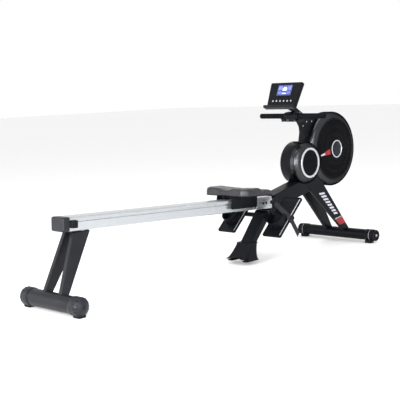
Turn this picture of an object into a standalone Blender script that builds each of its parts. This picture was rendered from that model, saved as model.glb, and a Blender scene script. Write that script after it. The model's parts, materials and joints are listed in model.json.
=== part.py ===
"""Folding rowing machine with an air and magnetic drive, as separate named parts.

Metres, +Z up, +X towards the fan, -Y is the near side with the fan's open face.
The origin is on the floor, in the middle of the machine's length and width.
"""
import math

import bmesh
import bpy
from mathutils import Matrix, Vector

# ---------------------------------------------------------------- driving dimensions
GAP = 0.0003                      # between parts that touch
NEAR, FAR = -1, 1                 # the two sides of the machine, as signs of Y
SIDES = {"near": NEAR, "far": FAR}

FRONT_FOOT_X = 1.069
FRONT_FOOT_R = 0.0324
FRONT_FOOT_Z = 0.0456
FRONT_FOOT_HALF = 0.284
REAR_FOOT_X = -1.133
REAR_FOOT_R = 0.0400
REAR_FOOT_Z = 0.0480
REAR_FOOT_HALF = 0.214

PIVOT = Vector((0.361, 0.0, 0.318))      # where the rail folds
RAIL_SLOPE = math.radians(2.7)           # the rail drops towards the front
RAIL_HALF_WIDTH = 0.041
RAIL_TOP = 0.0325                        # above the pivot, along the rail's normal
RAIL_BOTTOM = -0.0335
RAIL_REAR = -1.413                       # along the rail, from the pivot
RAIL_FRONT = 0.012
PIVOT_BOLT_R = 0.006

STOP_AT = RAIL_REAR + 0.024              # the cross pin that stops the seat
STOP_DROP = 0.008                        # its axis, below the rail's
CAP_LENGTH = 0.040

SEAT_AT = -0.232                         # the carriage's middle, along the rail
CARRIAGE_HALF = 0.102
CARRIAGE_Y = 0.0555
ROLLER_R = 0.0118
ROLLER_AXIS = RAIL_TOP + GAP + ROLLER_R
ROLLER_SPREAD = 0.072
SEAT_BASE_BOTTOM = 0.0625
SEAT_BASE_THICK = 0.008
PAD_AT = 0.016                           # the pad's middle, ahead of the carriage's
PAD_HALF_X, PAD_HALF_Y = 0.130, 0.155
PAD_BOTTOM, PAD_LOW, PAD_TALL = 0.053, 0.083, 0.093
PAD_SKIRT = 0.007

BEAM_SLOPE = math.radians(12.0)          # the beam rises towards the fan
BEAM_HALF_WIDTH = 0.041
BEAM_HEIGHT = 0.085
BEAM_START = Vector((0.636, 0.0, 0.316))  # a point on the beam's lower face
BEAM_REACH = (-0.231, 0.330)

DRUM = Vector((0.699, 0.0, 0.510))
DRUM_R = 0.123
DRUM_NEAR, DRUM_SEAM, DRUM_FAR = -0.075, -0.022, 0.060
DRUM_RING_R = 0.0880
FAN = Vector((0.985, 0.0, 0.570))
FAN_R = 0.224
FAN_HALF_DEPTH = 0.052
GRILLE_R = 0.183
GRILLE_DOME = 0.008
FAN_WHEEL_R = 0.130
AXLE_R = 0.0060
BELT_Y, BELT_HALF_WIDTH = 0.024, 0.006
DRIVE_PULLEY_R, FAN_PULLEY_R = 0.060, 0.020
REEL_HUB_R = 0.045

HANDLE = Vector((0.636, 0.0, 0.784))
HANDLE_HALF = 0.230
HANDLE_BAR_R = 0.0110
GRIP_R = 0.0150
HUB_HALF = 0.048
HUB_R = 0.0260
REST_HALF = 0.075
REST_DROP = 0.030                        # the rest's tongue, below the handle's axis
MAST_THICK = 0.026
STRAP_WIDTH = 0.018

CONSOLE_HINGE = Vector((0.5754, 0.0, 0.8490))
CONSOLE_LEAN = math.radians(26.0)
CONSOLE_HALF_WIDTH = 0.1127
CONSOLE_FACE = 0.040                     # the face, in front of the hinge
CONSOLE_DEPTH = 0.022
CONSOLE_BOTTOM, CONSOLE_TOP = -0.035, 0.124
BUTTONS = 6
BUTTON_R = 0.0055
BUTTON_STEP = 0.0255
BUTTON_UP = 0.008                        # the row, above the hinge
BUTTON_PROUD = 0.0016

PLATE_FOOT = Vector((0.209, 0.0, 0.160))  # the lower end of a footplate
PLATE_ANGLE = math.radians(42.4)
PLATE_LENGTH = 0.2775
PLATE_HALF_WIDTH = 0.062
PLATE_THICK = 0.012
PLATE_Y = 0.162
CUP_AT = 0.094
PEDAL_TUBE_R = 0.0127
PEDAL_TUBE_AT = 0.150

MID_TOP = Vector((0.352, 0.0, 0.262))
MID_BOTTOM = Vector((0.172, 0.0, 0.064))
MID_FOOT_Z = 0.018                       # the middle foot hangs just clear of the floor

CENTRE_X = 0.0162                 # the middle of the machine's length, where the origin goes

SEGMENTS = 20                     # facets around small round parts
BIG_SEGMENTS = 32                 # around the fan and the drum
SADDLE_SEGMENTS = 48              # around the shapes that cut a saddle
SADDLE_GAP = 0.0008               # clears the facets of a big round neighbour


# ---------------------------------------------------------------- scene and materials
for old in list(bpy.data.objects):
    bpy.data.objects.remove(old, do_unlink=True)

MACHINE = bpy.data.collections.new("rowing_machine")
CUTTERS = bpy.data.collections.new("cutters")
bpy.context.scene.collection.children.link(MACHINE)
bpy.context.scene.collection.children.link(CUTTERS)


def paint(name, colour, roughness, metallic=0.0):
    """A plain Principled material."""
    material = bpy.data.materials.new(name)
    material.use_nodes = True
    shader = material.node_tree.nodes["Principled BSDF"]
    shader.inputs["Base Color"].default_value = (*colour, 1.0)
    shader.inputs["Roughness"].default_value = roughness
    shader.inputs["Metallic"].default_value = metallic
    material.diffuse_color = (*colour, 1.0)
    return material


BLACK_PAINT = ((0.020, 0.022, 0.026), 0.35, 0.2)
BLACK_PLASTIC = ((0.018, 0.019, 0.022), 0.45, 0.0)
GLOSS_BLACK = ((0.012, 0.013, 0.016), 0.15, 0.0)
GREY_PLASTIC = ((0.075, 0.078, 0.085), 0.40, 0.0)
RUBBER = ((0.015, 0.015, 0.016), 0.85, 0.0)
ALUMINIUM = ((0.72, 0.73, 0.76), 0.30, 0.9)
STEEL = ((0.55, 0.56, 0.58), 0.25, 1.0)
SILVER = ((0.78, 0.79, 0.81), 0.25, 0.6)
WEBBING = ((0.055, 0.058, 0.064), 0.9, 0.0)
VINYL = ((0.030, 0.032, 0.037), 0.50, 0.0)


# ---------------------------------------------------------------- building helpers
def add(name, data, look, parent=None, location=(0, 0, 0), rotation=(0, 0, 0)):
    """Puts one named part in the machine's collection."""
    part = bpy.data.objects.new(name, data)
    MACHINE.objects.link(part)
    part.location = location
    part.rotation_euler = rotation
    part.parent = parent
    data.materials.clear()
    data.materials.append(paint(name, *look))
    return part


def body_frame(name, matrix):
    """An empty on a joint's axis, which the moving parts hang on."""
    empty = bpy.data.objects.new(name, None)
    MACHINE.objects.link(empty)
    empty.empty_display_size = 0.03
    empty.matrix_world = matrix
    return empty


def as_cutter(tool):
    """Moves a tool shape out of the machine, hidden from view."""
    MACHINE.objects.unlink(tool)
    CUTTERS.objects.link(tool)
    tool.hide_render = True
    tool.display_type = "WIRE"
    return tool


def boolean(part, tool, operation):
    """Cuts or joins a part with a tool shape."""
    change = part.modifiers.new(operation.lower(), "BOOLEAN")
    change.operation = operation
    change.solver = "EXACT"
    change.object = tool
    return part


def cut(part, *tools):
    for tool in tools:
        boolean(part, as_cutter(tool), "DIFFERENCE")
    return part


def join(part, *tools):
    for tool in tools:
        boolean(part, as_cutter(tool), "UNION")
    return part


def round_edges(part, width, segments=2):
    """Rounds the sharp edges of a part."""
    bevel = part.modifiers.new("round", "BEVEL")
    bevel.width = width
    bevel.segments = segments
    bevel.limit_method = "ANGLE"
    bevel.angle_limit = math.radians(40)
    return part


def mesh_from(bm, name, smooth=True):
    mesh = bpy.data.meshes.new(name)
    bm.to_mesh(mesh)
    bm.free()
    if smooth:
        mesh.shade_smooth()
        mesh.set_sharp_from_angle(angle=math.radians(35))
    return mesh


def box(name, size, look, parent=None, location=(0, 0, 0), rotation=(0, 0, 0), edge=0.0):
    bm = bmesh.new()
    bmesh.ops.create_cube(bm, size=1.0)
    bmesh.ops.scale(bm, vec=size, verts=bm.verts)
    part = add(name, mesh_from(bm, name, smooth=False), look, parent, location, rotation)
    if edge:
        round_edges(part, edge)
    return part


def rod(name, radius, length, look, parent=None, location=(0, 0, 0), rotation=(math.pi / 2, 0, 0),
        segments=SEGMENTS):
    """A cylinder, along Y unless it is turned."""
    bm = bmesh.new()
    bmesh.ops.create_cone(bm, cap_ends=True, segments=segments, radius1=radius, radius2=radius,
                          depth=length)
    return add(name, mesh_from(bm, name), look, parent, location, rotation)


def turned(name, profile, look, parent=None, location=(0, 0, 0), rotation=(math.pi / 2, 0, 0),
           ring=False, segments=SEGMENTS):
    """A turned part. The profile is (radius, height) down its outer side; heights point to -Y."""
    bm = bmesh.new()
    points = [bm.verts.new((radius, 0, height)) for radius, height in profile]
    for first, second in zip(points, points[1:]):
        bm.edges.new((first, second))
    if ring:
        bm.edges.new((points[-1], points[0]))
    part = add(name, mesh_from(bm, name, smooth=False), look, parent, location, rotation)
    screw = part.modifiers.new("turn", "SCREW")
    screw.axis = "Z"
    screw.angle = 2 * math.pi
    screw.steps = screw.render_steps = segments
    screw.use_merge_vertices = True
    screw.merge_threshold = 0.00001
    screw.use_smooth_shade = True
    return part


def arc(centre, radius, start, end, count):
    """Points on an arc, angles in degrees."""
    angles = [math.radians(start + (end - start) * i / count) for i in range(count + 1)]
    return [(centre[0] + radius * math.cos(a), centre[1] + radius * math.sin(a)) for a in angles]


def plate(name, outline, thickness, look, parent=None, location=(0, 0, 0),
          rotation=(math.pi / 2, 0, 0), holes=()):
    """A flat outline in X and Z, with its thickness along Y unless it is turned."""
    curve = bpy.data.curves.new(name, "CURVE")
    curve.dimensions = "2D"
    curve.fill_mode = "BOTH"
    curve.extrude = thickness / 2
    for points in (outline, *holes):
        spline = curve.splines.new("POLY")
        spline.points.add(len(points) - 1)
        for point, (x, y) in zip(spline.points, points):
            point.co = (x, y, 0, 1)
        spline.use_cyclic_u = True
    return welded(add(name, curve, look, parent, location, rotation))


def welded(curve_part):
    """The closed mesh of a curve part, in its place and under its name."""
    bpy.context.view_layer.update()
    name, parent = curve_part.name, curve_part.parent
    materials = list(curve_part.data.materials)
    evaluated = curve_part.evaluated_get(bpy.context.evaluated_depsgraph_get())
    mesh = bpy.data.meshes.new_from_object(evaluated)
    bm = bmesh.new()
    bm.from_mesh(mesh)
    bmesh.ops.remove_doubles(bm, verts=bm.verts, dist=0.00001)
    bmesh.ops.recalc_face_normals(bm, faces=bm.faces)
    bm.to_mesh(mesh)
    bm.free()
    mesh.shade_smooth()
    mesh.set_sharp_from_angle(angle=math.radians(35))
    place = curve_part.matrix_world.copy()
    bpy.data.objects.remove(curve_part, do_unlink=True)
    part = bpy.data.objects.new(name, mesh)
    MACHINE.objects.link(part)
    part.parent = parent
    part.matrix_world = place
    mesh.materials.clear()
    mesh.materials.append(materials[0])
    return part


def prism(name, lower, upper, lower_size, upper_size, look, parent=None):
    """A bar from one level rectangle to another, for legs that taper and lean."""
    bm = bmesh.new()
    bmesh.ops.create_cube(bm, size=1.0)
    for vertex in bm.verts:
        centre, size = (upper, upper_size) if vertex.co.z > 0 else (lower, lower_size)
        vertex.co.x = centre[0] + size[0] * vertex.co.x
        vertex.co.y = centre[1] + size[1] * vertex.co.y
        vertex.co.z = centre[2]
    return add(name, mesh_from(bm, name, smooth=False), look, parent)


def hollow_leg(name, lower, upper, lower_size, upper_size, look, parent=None, wall=0.0028):
    """A tapered tube with open ends."""
    leg = prism(name, lower, upper, lower_size, upper_size, look, parent)
    round_edges(leg, 0.004)
    lower, upper = Vector(lower), Vector(upper)
    longer = (upper - lower) * 0.05
    inner = [(size[0] - 2 * wall, size[1] - 2 * wall) for size in (lower_size, upper_size)]
    bore = prism(name + "_bore", lower - longer, upper + longer, *inner, look, parent)
    return cut(leg, bore)


def band(name, path, width_axis, width, thickness, look, parent=None):
    """A flat strap along a path, made as a loft of rectangles."""
    bm = bmesh.new()
    side = Vector(width_axis).normalized() * width / 2
    rows = []
    for index, point in enumerate(path):
        before = path[max(index - 1, 0)]
        after = path[min(index + 1, len(path) - 1)]
        along = (Vector(after) - Vector(before)).normalized()
        up = along.cross(side).normalized() * thickness / 2
        corners = (side + up, up - side, -side - up, side - up)
        rows.append([bm.verts.new(Vector(point) + corner) for corner in corners])
    for row, following in zip(rows, rows[1:]):
        for i in range(4):
            j = (i + 1) % 4
            bm.faces.new((row[i], row[j], following[j], following[i]))
    bm.faces.new(rows[0])
    bm.faces.new(reversed(rows[-1]))
    bmesh.ops.recalc_face_normals(bm, faces=bm.faces)
    return add(name, mesh_from(bm, name), look, parent)


# ---------------------------------------------------------------- feet
def rounded_cap(name, look, parent, at, radius, start, end, sign, pad_bottom, collar):
    """A foot tube's end cap: a domed shell over the tube's end, with a floor pad under it."""
    length = end - start
    dome = [(radius * math.cos(a), length - radius * 0.55 + radius * 0.55 * math.sin(a))
            for a in (math.radians(90 - 15 * i) for i in range(7))]
    profile = dome + [(radius, 0.0), (0.0, 0.0)]
    profile[0] = (0.0, length)
    turn = (math.pi / 2, 0, 0) if sign == NEAR else (-math.pi / 2, 0, 0)
    cap = turned(name, profile, look, parent, (at[0], sign * start, at[2]), turn)
    pad_height = at[2] - radius * 0.80 - pad_bottom
    pad = box(name + "_pad", (0.040, length * 0.62, pad_height), look, parent,
              (at[0], sign * (start + length * 0.46), pad_bottom + pad_height / 2), edge=0.002)
    socket = rod(name + "_socket", collar + GAP, 2 * 0.028, look, parent,
                 (at[0], sign * start, at[2]))
    join(cap, pad)
    return cut(cap, socket)


def hollow_tube(name, radius, half_length, look, parent, at, wall=0.0025):
    profile = [(radius, half_length), (radius, -half_length),
               (radius - wall, -half_length), (radius - wall, half_length)]
    return turned(name, profile, look, parent, at, ring=True)


def front_foot():
    at = Vector((FRONT_FOOT_X, 0, FRONT_FOOT_Z))
    hollow_tube("front_foot_tube", FRONT_FOOT_R, 0.240, BLACK_PAINT, None, at)
    for side, sign in SIDES.items():
        cap_end = FRONT_FOOT_HALF - 0.018
        length = cap_end - 0.214
        radius = FRONT_FOOT_R + 0.003
        profile = [(0.0, length), (radius - 0.003, length), (radius, length - 0.004),
                   (radius, 0.0), (0.0, 0.0)]
        turn = (math.pi / 2, 0, 0) if sign == NEAR else (-math.pi / 2, 0, 0)
        cap = turned(f"front_cap_{side}", profile, BLACK_PLASTIC, None,
                     (at.x, sign * 0.214, at.z), turn)
        pad_top = at.z - radius * 0.80
        pad = box(f"front_pad_{side}", (0.036, length * 0.8, pad_top), BLACK_PLASTIC, None,
                  (at.x - 0.013, sign * (0.214 + length * 0.48), pad_top / 2), edge=0.002)
        socket = rod(f"front_socket_{side}", FRONT_FOOT_R + GAP, 2 * 0.0265, BLACK_PLASTIC, None,
                     (at.x, sign * 0.214, at.z))
        stub_half = FRONT_FOOT_HALF - cap_end
        stub = rod(f"front_stub_{side}", 0.0050, 2 * stub_half, BLACK_PLASTIC, None,
                   (at.x, sign * cap_end, at.z), segments=24)
        join(cap, pad, stub)
        cut(cap, socket)


def transport_wheels():
    """Small wheels on the ends of the front foot, for tilting and rolling the machine."""
    start = FRONT_FOOT_HALF - 0.018 + GAP
    for side, sign in SIDES.items():
        axle = body_frame(f"wheel_{side}_axis",
                          Matrix.Translation((FRONT_FOOT_X, sign * start, FRONT_FOOT_Z)))
        radius, width, hole = 0.0335, 0.0165, 0.0050 + 0.0001
        profile = [(hole, width), (radius - 0.006, width), (radius - 0.001, width - 0.003),
                   (radius, width - 0.006), (radius, 0.002), (radius - 0.002, 0.0), (hole, 0.0)]
        turn = (math.pi / 2, 0, 0) if sign == NEAR else (-math.pi / 2, 0, 0)
        turned(f"transport_wheel_{side}", profile, RUBBER, axle, rotation=turn, ring=True)


# ---------------------------------------------------------------- main frame
def beam_matrix():
    return Matrix.Translation(BEAM_START) @ Matrix.Rotation(-BEAM_SLOPE, 4, "Y")


def beam_block(name, grow, look):
    """The beam's outer block, grown by a margin when it cuts its neighbours."""
    low, high = BEAM_REACH
    size = (high - low + 2 * grow, 2 * (BEAM_HALF_WIDTH + grow), BEAM_HEIGHT + 2 * grow)
    block = box(name, size, look)
    block.matrix_world = beam_matrix() @ Matrix.Translation(((low + high) / 2, 0, BEAM_HEIGHT / 2))
    return block


def main_beam():
    beam = beam_block("main_beam", 0.0, BLACK_PAINT)
    round_edges(beam, 0.004)
    wall = 0.003
    bore = box("beam_bore", (1.0, 2 * (BEAM_HALF_WIDTH - wall), BEAM_HEIGHT - 2 * wall), BLACK_PAINT)
    bore.matrix_world = beam_matrix() @ Matrix.Translation((0, 0, BEAM_HEIGHT / 2))
    drum_seat = rod("drum_seat", DRUM_R + SADDLE_GAP, 0.30, BLACK_PAINT, None, DRUM,
                    segments=SADDLE_SEGMENTS)
    fan_seat = rod("fan_seat", FAN_R + SADDLE_GAP, 0.30, BLACK_PAINT, None, FAN,
                   segments=SADDLE_SEGMENTS)
    cut(beam, bore, drum_seat, fan_seat)


def front_legs():
    for side, sign in SIDES.items():
        lower = (FRONT_FOOT_X + 0.008, sign * 0.065, 0.050)
        upper = (0.780, sign * 0.030, 0.384)
        leg = hollow_leg(f"front_leg_{side}", lower, upper, (0.060, 0.0215), (0.165, 0.0215),
                         BLACK_PAINT)
        saddle = rod(f"leg_saddle_{side}", FRONT_FOOT_R + GAP, 0.4, BLACK_PAINT, None,
                     (FRONT_FOOT_X, 0, FRONT_FOOT_Z), segments=SADDLE_SEGMENTS)
        floor_side = box(f"leg_trim_{side}", (0.3, 0.3, 0.05), BLACK_PAINT, None,
                         (FRONT_FOOT_X, 0, FRONT_FOOT_Z - 0.012))
        fan_room = rod(f"leg_fan_room_{side}", FAN_R + SADDLE_GAP, 0.4, BLACK_PAINT, None, FAN,
                       segments=SADDLE_SEGMENTS)
        cut(leg, beam_block(f"leg_top_{side}", GAP, BLACK_PAINT), fan_room, saddle, floor_side)


def pivot_bracket():
    """Two side plates that hold the rail's front end, the beam and the middle leg together."""
    x0, z0 = PIVOT.x, PIVOT.z
    eye = arc((x0, z0), 0.018, 80, 200, 8)
    outline = eye + [(x0 - 0.010, z0 - 0.040), (x0 - 0.052, z0 - 0.075), (x0 - 0.030, z0 - 0.104),
                     (x0 + 0.060, z0 - 0.085), (x0 + 0.110, z0 - 0.042), (x0 + 0.122, z0 + 0.004),
                     (x0 + 0.060, z0 + 0.030)]
    hole = arc((x0, z0), PIVOT_BOLT_R + 0.0001, 0, 348.75, 31)
    inner_y = RAIL_HALF_WIDTH + 2 * GAP
    thickness = 0.005
    bracket = plate("pivot_bracket", outline, thickness, BLACK_PAINT, None,
                    (0, -(inner_y + thickness / 2), 0), holes=[hole])
    other = plate("bracket_far_plate", outline, thickness, BLACK_PAINT, None,
                  (0, inner_y + thickness / 2, 0), holes=[hole])
    web = box("bracket_web", (0.056, 2 * inner_y + thickness, thickness), BLACK_PAINT)
    web.matrix_world = beam_matrix() @ Matrix.Translation((-0.205, 0, -thickness / 2 - GAP))
    tube = rod("bracket_tube_hole", PEDAL_TUBE_R + GAP, 0.3, BLACK_PAINT, None, pedal_tube_centre())
    join(bracket, other, web)
    cut(bracket, tube)


def pivot_bolt():
    """The bolt that the rail turns on, with a wide head on each side."""
    half = RAIL_HALF_WIDTH + 2 * GAP + 0.005 + GAP
    head = 0.0125
    profile = [(0.0, half + 0.007), (head - 0.002, half + 0.007), (head, half + 0.005), (head, half),
               (PIVOT_BOLT_R, half), (PIVOT_BOLT_R, -half), (head, -half), (head, -half - 0.005),
               (head - 0.002, -half - 0.007), (0.0, -half - 0.007)]
    turned("pivot_bolt", profile, BLACK_PLASTIC, None, PIVOT, segments=20)


def lock_knob():
    """A sprung pull knob on the near side of the bracket, which locks the rail down."""
    at = Vector((PIVOT.x + 0.052, -(RAIL_HALF_WIDTH + 2 * GAP + 0.005 + GAP), PIVOT.z - 0.030))
    frame = body_frame("lock_axis", Matrix.Translation(at))
    profile = [(0.0, 0.030), (0.009, 0.030), (0.0125, 0.026), (0.0125, 0.018), (0.007, 0.012),
               (0.007, 0.0), (0.0, 0.0)]
    turned("lock_knob", profile, BLACK_PLASTIC, frame, segments=20)


def middle_leg():
    """The wide central leg behind the beam, with a moulded foot."""
    leg = hollow_leg("mid_leg", MID_BOTTOM, MID_TOP, (0.052, 0.074), (0.060, 0.0815), BLACK_PAINT)
    across = rod("mid_leg_hole", PEDAL_TUBE_R + GAP, 0.3, BLACK_PAINT, None, pedal_tube_centre())
    cut(leg, across)
    lower = (MID_BOTTOM.x - 0.020, 0, MID_FOOT_Z)
    upper = (MID_BOTTOM.x + 0.034, 0, MID_FOOT_Z + 0.094)
    boot = prism("mid_foot", lower, upper, (0.102, 0.156), (0.074, 0.094), BLACK_PLASTIC)
    round_edges(boot, 0.007)
    arch = box("foot_arch", (0.3, 0.046, 0.032), BLACK_PLASTIC, None, lower)
    axis = (MID_TOP - MID_BOTTOM).normalized()
    low, high = MID_BOTTOM - axis * 0.002, MID_BOTTOM + axis * 0.2
    socket = prism("foot_socket", low, high, (0.052 + 2 * GAP, 0.074 + 4 * GAP),
                   (0.060 + 2 * GAP, 0.0815 + 2 * GAP), BLACK_PLASTIC)
    cut(boot, arch, socket)


# ---------------------------------------------------------------- pedals
def pedal_matrix(sign):
    """Local X runs up a footplate, local Y across it and local Z out towards the rower."""
    corner = PLATE_FOOT + Vector((0, sign * PLATE_Y, 0))
    return Matrix.Translation(corner) @ Matrix.Rotation(-PLATE_ANGLE, 4, "Y")


def pedal_tube_centre():
    along = Vector((math.cos(PLATE_ANGLE), 0, math.sin(PLATE_ANGLE)))
    out = Vector((-math.sin(PLATE_ANGLE), 0, math.cos(PLATE_ANGLE)))
    return PLATE_FOOT + along * PEDAL_TUBE_AT - out * (PLATE_THICK + PEDAL_TUBE_R + GAP)


def pedals():
    rod("pedal_tube", PEDAL_TUBE_R, 2 * (PLATE_Y + PLATE_HALF_WIDTH - 0.006), BLACK_PAINT, None,
        pedal_tube_centre())
    for side, sign in SIDES.items():
        frame = body_frame(f"pedal_{side}_frame", pedal_matrix(sign))
        footplate(side, frame)
        heel_cup(side, frame)
        foot_strap(side, sign, frame)


def footplate(side, frame):
    """A long rounded plate with a raised rim at the toes and a slot that guides the heel cup."""
    half, long, corner = PLATE_HALF_WIDTH, PLATE_LENGTH, 0.018
    outline = (arc((corner, -half + corner), corner, 180, 270, 4)
               + arc((long - 2 * corner, -half + 2 * corner), 2 * corner, 270, 360, 5)
               + arc((long - 2 * corner, half - 2 * corner), 2 * corner, 0, 90, 5)
               + arc((corner, half - corner), corner, 90, 180, 4))
    slot = arc((0.126, 0), 0.005, -90, 90, 6) + arc((0.056, 0), 0.005, 90, 270, 6)
    plate(f"footplate_{side}", outline, PLATE_THICK, BLACK_PLASTIC, frame,
          (0, 0, -PLATE_THICK / 2), (0, 0, 0), holes=[slot])


def heel_cup(side, frame):
    """A U of wall around the heel, with a floor; it slides along the footplate."""
    cup = body_frame(f"heel_{side}_frame", frame.matrix_world @ Matrix.Translation((CUP_AT, 0, 0)))
    outer, wall, leg = 0.050, 0.005, 0.034
    inner = outer - wall
    outline = (arc((0, 0), outer, 90, 270, 12) + [(leg, -outer)]
               + [(leg, -inner)] + arc((0, 0), inner, 270, 90, 12) + [(leg, inner), (leg, outer)])
    height = 0.046
    wall_part = plate(f"heel_cup_{side}", outline, height, BLACK_PLASTIC, cup,
                      (0, 0, GAP + height / 2), (0, 0, 0))
    floor_outline = arc((0, 0), outer - 0.001, 90, 270, 12) + [(leg - 0.001, -outer + 0.001),
                                                            (leg - 0.001, outer - 0.001)]
    floor_part = plate(f"heel_floor_{side}", floor_outline, 0.005, BLACK_PLASTIC, cup,
                       (0, 0, GAP + 0.0025), (0, 0, 0))
    key = box(f"heel_key_{side}", (0.016, 0.0090, 0.012), BLACK_PLASTIC, cup, (0.010, 0, -0.004))
    join(wall_part, floor_part, key)


def foot_strap(side, sign, frame):
    """A webbing strap that leans over the foot, with a loose tail outside the plate."""
    edge = PLATE_HALF_WIDTH + 0.0015 + GAP
    rise, inner_at, outer_at = 0.056, 0.190, 0.135
    count = 12
    arch = []
    for i in range(count + 1):
        share = i / count
        across = -edge * math.cos(math.pi * share)
        height = rise * math.sin(math.pi * share ** 0.65) ** 0.75
        arch.append((inner_at + (outer_at - inner_at) * share, sign * across, height))
    inner_end = (inner_at + 0.002, -sign * edge, -0.012)
    tail = [(0.130, sign * (edge + 0.004), -0.012), (0.122, sign * (edge + 0.014), -0.028),
            (0.111, sign * (edge + 0.028), -0.048), (0.101, sign * (edge + 0.040), -0.067)]
    band(f"foot_strap_{side}", [inner_end] + arch + tail, (1, 0, 0), 0.030, 0.0022, WEBBING, frame)


# ---------------------------------------------------------------- drum and fan
def drum():
    """The strap and pulley drum: two covers, a silver ring and the open mesh inside it."""
    near_depth = DRUM_SEAM - DRUM_NEAR
    shoulder = [(DRUM_RING_R + 0.0015, near_depth), (0.104, near_depth - 0.003),
                (0.114, near_depth - 0.010), (0.1205, near_depth - 0.020), (DRUM_R, near_depth - 0.032)]
    wall = 0.003
    near_profile = shoulder + [(DRUM_R, GAP), (DRUM_R - wall, GAP), (DRUM_R - wall, near_depth - 0.032),
                               (0.1175, near_depth - 0.022), (0.112, near_depth - 0.014),
                               (0.102, near_depth - 0.0075), (DRUM_RING_R - 0.006, near_depth - 0.0065),
                               (DRUM_RING_R - 0.006, near_depth - 0.0035),
                               (DRUM_RING_R + 0.0015, near_depth - 0.0035)]
    near = turned("drum_cover_near", near_profile, GLOSS_BLACK, None, (DRUM.x, DRUM_SEAM, DRUM.z),
                  ring=True, segments=BIG_SEGMENTS)
    far_depth = DRUM_FAR - DRUM_SEAM
    far_profile = [(DRUM_R, far_depth), (DRUM_R, 0.016), (0.116, 0.005), (0.106, 0.0),
                   (AXLE_R + GAP, 0.0), (AXLE_R + GAP, wall), (0.104, wall), (0.113, 0.007),
                   (DRUM_R - wall, 0.017), (DRUM_R - wall, far_depth)]
    far = turned("drum_cover_far", far_profile, BLACK_PLASTIC, None, (DRUM.x, DRUM_FAR, DRUM.z),
                 ring=True, segments=BIG_SEGMENTS)
    for cover in (near, far):
        window = box(cover.name + "_window", (0.080, 0.024, 0.150), BLACK_PLASTIC, None,
                     (DRUM.x + DRUM_R, BELT_Y, DRUM.z + 0.022))
        strap_gate = box(cover.name + "_gate", (0.030, 0.060, 0.060), BLACK_PLASTIC, None,
                         (DRUM.x - 0.020, -0.014, DRUM.z + DRUM_R))
        cut(cover, window, strap_gate)
    rim = DRUM_RING_R
    ring_profile = [(0.0, 0.0), (rim - 0.0120, 0.0), (rim - 0.0100, 0.0042), (rim - 0.0020, 0.0042),
                    (rim, 0.0030), (rim, -0.0027), (0.0, -0.0027)]
    turned("drum_ring", ring_profile, SILVER, None, (DRUM.x, DRUM_NEAR, DRUM.z),
           segments=BIG_SEGMENTS)


def fan_housing():
    """The round casing around the fan, open towards the drum."""
    depth, wall = FAN_HALF_DEPTH, 0.004
    lip = GRILLE_R + 0.0015
    outer = [(lip, depth), (FAN_R - 0.022, depth - 0.002), (FAN_R - 0.008, depth - 0.010),
             (FAN_R, depth - 0.026)]
    back = [(radius, -height) for radius, height in reversed(outer)]
    inner = [(lip, -depth + wall), (FAN_R - 0.023, -depth + wall + 0.002),
             (FAN_R - wall, -depth + 0.027), (FAN_R - wall, depth - 0.027),
             (FAN_R - 0.023, depth - wall - 0.002), (lip, depth - wall)]
    housing = turned("fan_housing", outer + back + inner, GLOSS_BLACK, None, FAN, ring=True,
                     segments=BIG_SEGMENTS)
    drum_bay = rod("drum_bay", DRUM_R + SADDLE_GAP, 0.3, GLOSS_BLACK, None, DRUM,
                   segments=SADDLE_SEGMENTS)
    cut(housing, drum_bay)
    for side, sign in SIDES.items():
        turn = (math.pi / 2, 0, 0) if sign == NEAR else (-math.pi / 2, 0, 0)
        face, thickness = depth - 0.0005, 0.003
        dome = [(AXLE_R + GAP, face + GRILLE_DOME), (0.060, face + GRILLE_DOME - 0.0005),
                (0.130, face + 0.4 * GRILLE_DOME), (GRILLE_R, face - 0.001)]
        profile = dome + [(radius, height - thickness) for radius, height in reversed(dome)]
        grille = turned(f"fan_grille_{side}", profile, BLACK_PLASTIC, None, FAN, turn, ring=True,
                        segments=BIG_SEGMENTS)
        bay = rod(f"grille_bay_{side}", DRUM_R + SADDLE_GAP, 0.3, BLACK_PLASTIC, None, DRUM,
                  segments=SADDLE_SEGMENTS)
        cut(grille, bay)
    cap_base = depth - 0.0005 + GRILLE_DOME + GAP
    cap = [(0.0, 0.005), (0.042, 0.004), (0.045, 0.0075), (0.0545, 0.0075), (0.0575, 0.003),
           (0.0575, 0.0), (0.0, 0.0)]
    turned("fan_hub_cap", cap, SILVER, None, (FAN.x, -cap_base, FAN.z), segments=28)


def fan_axles():
    reach = FAN_HALF_DEPTH + GRILLE_DOME - 0.001
    rod("fan_axle", AXLE_R, 2 * reach, STEEL, None, FAN, segments=16)
    near, far = DRUM_NEAR + 0.004, DRUM_FAR + 0.006
    rod("reel_axle", AXLE_R, far - near, STEEL, None, (DRUM.x, (near + far) / 2, DRUM.z),
        segments=16)


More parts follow.
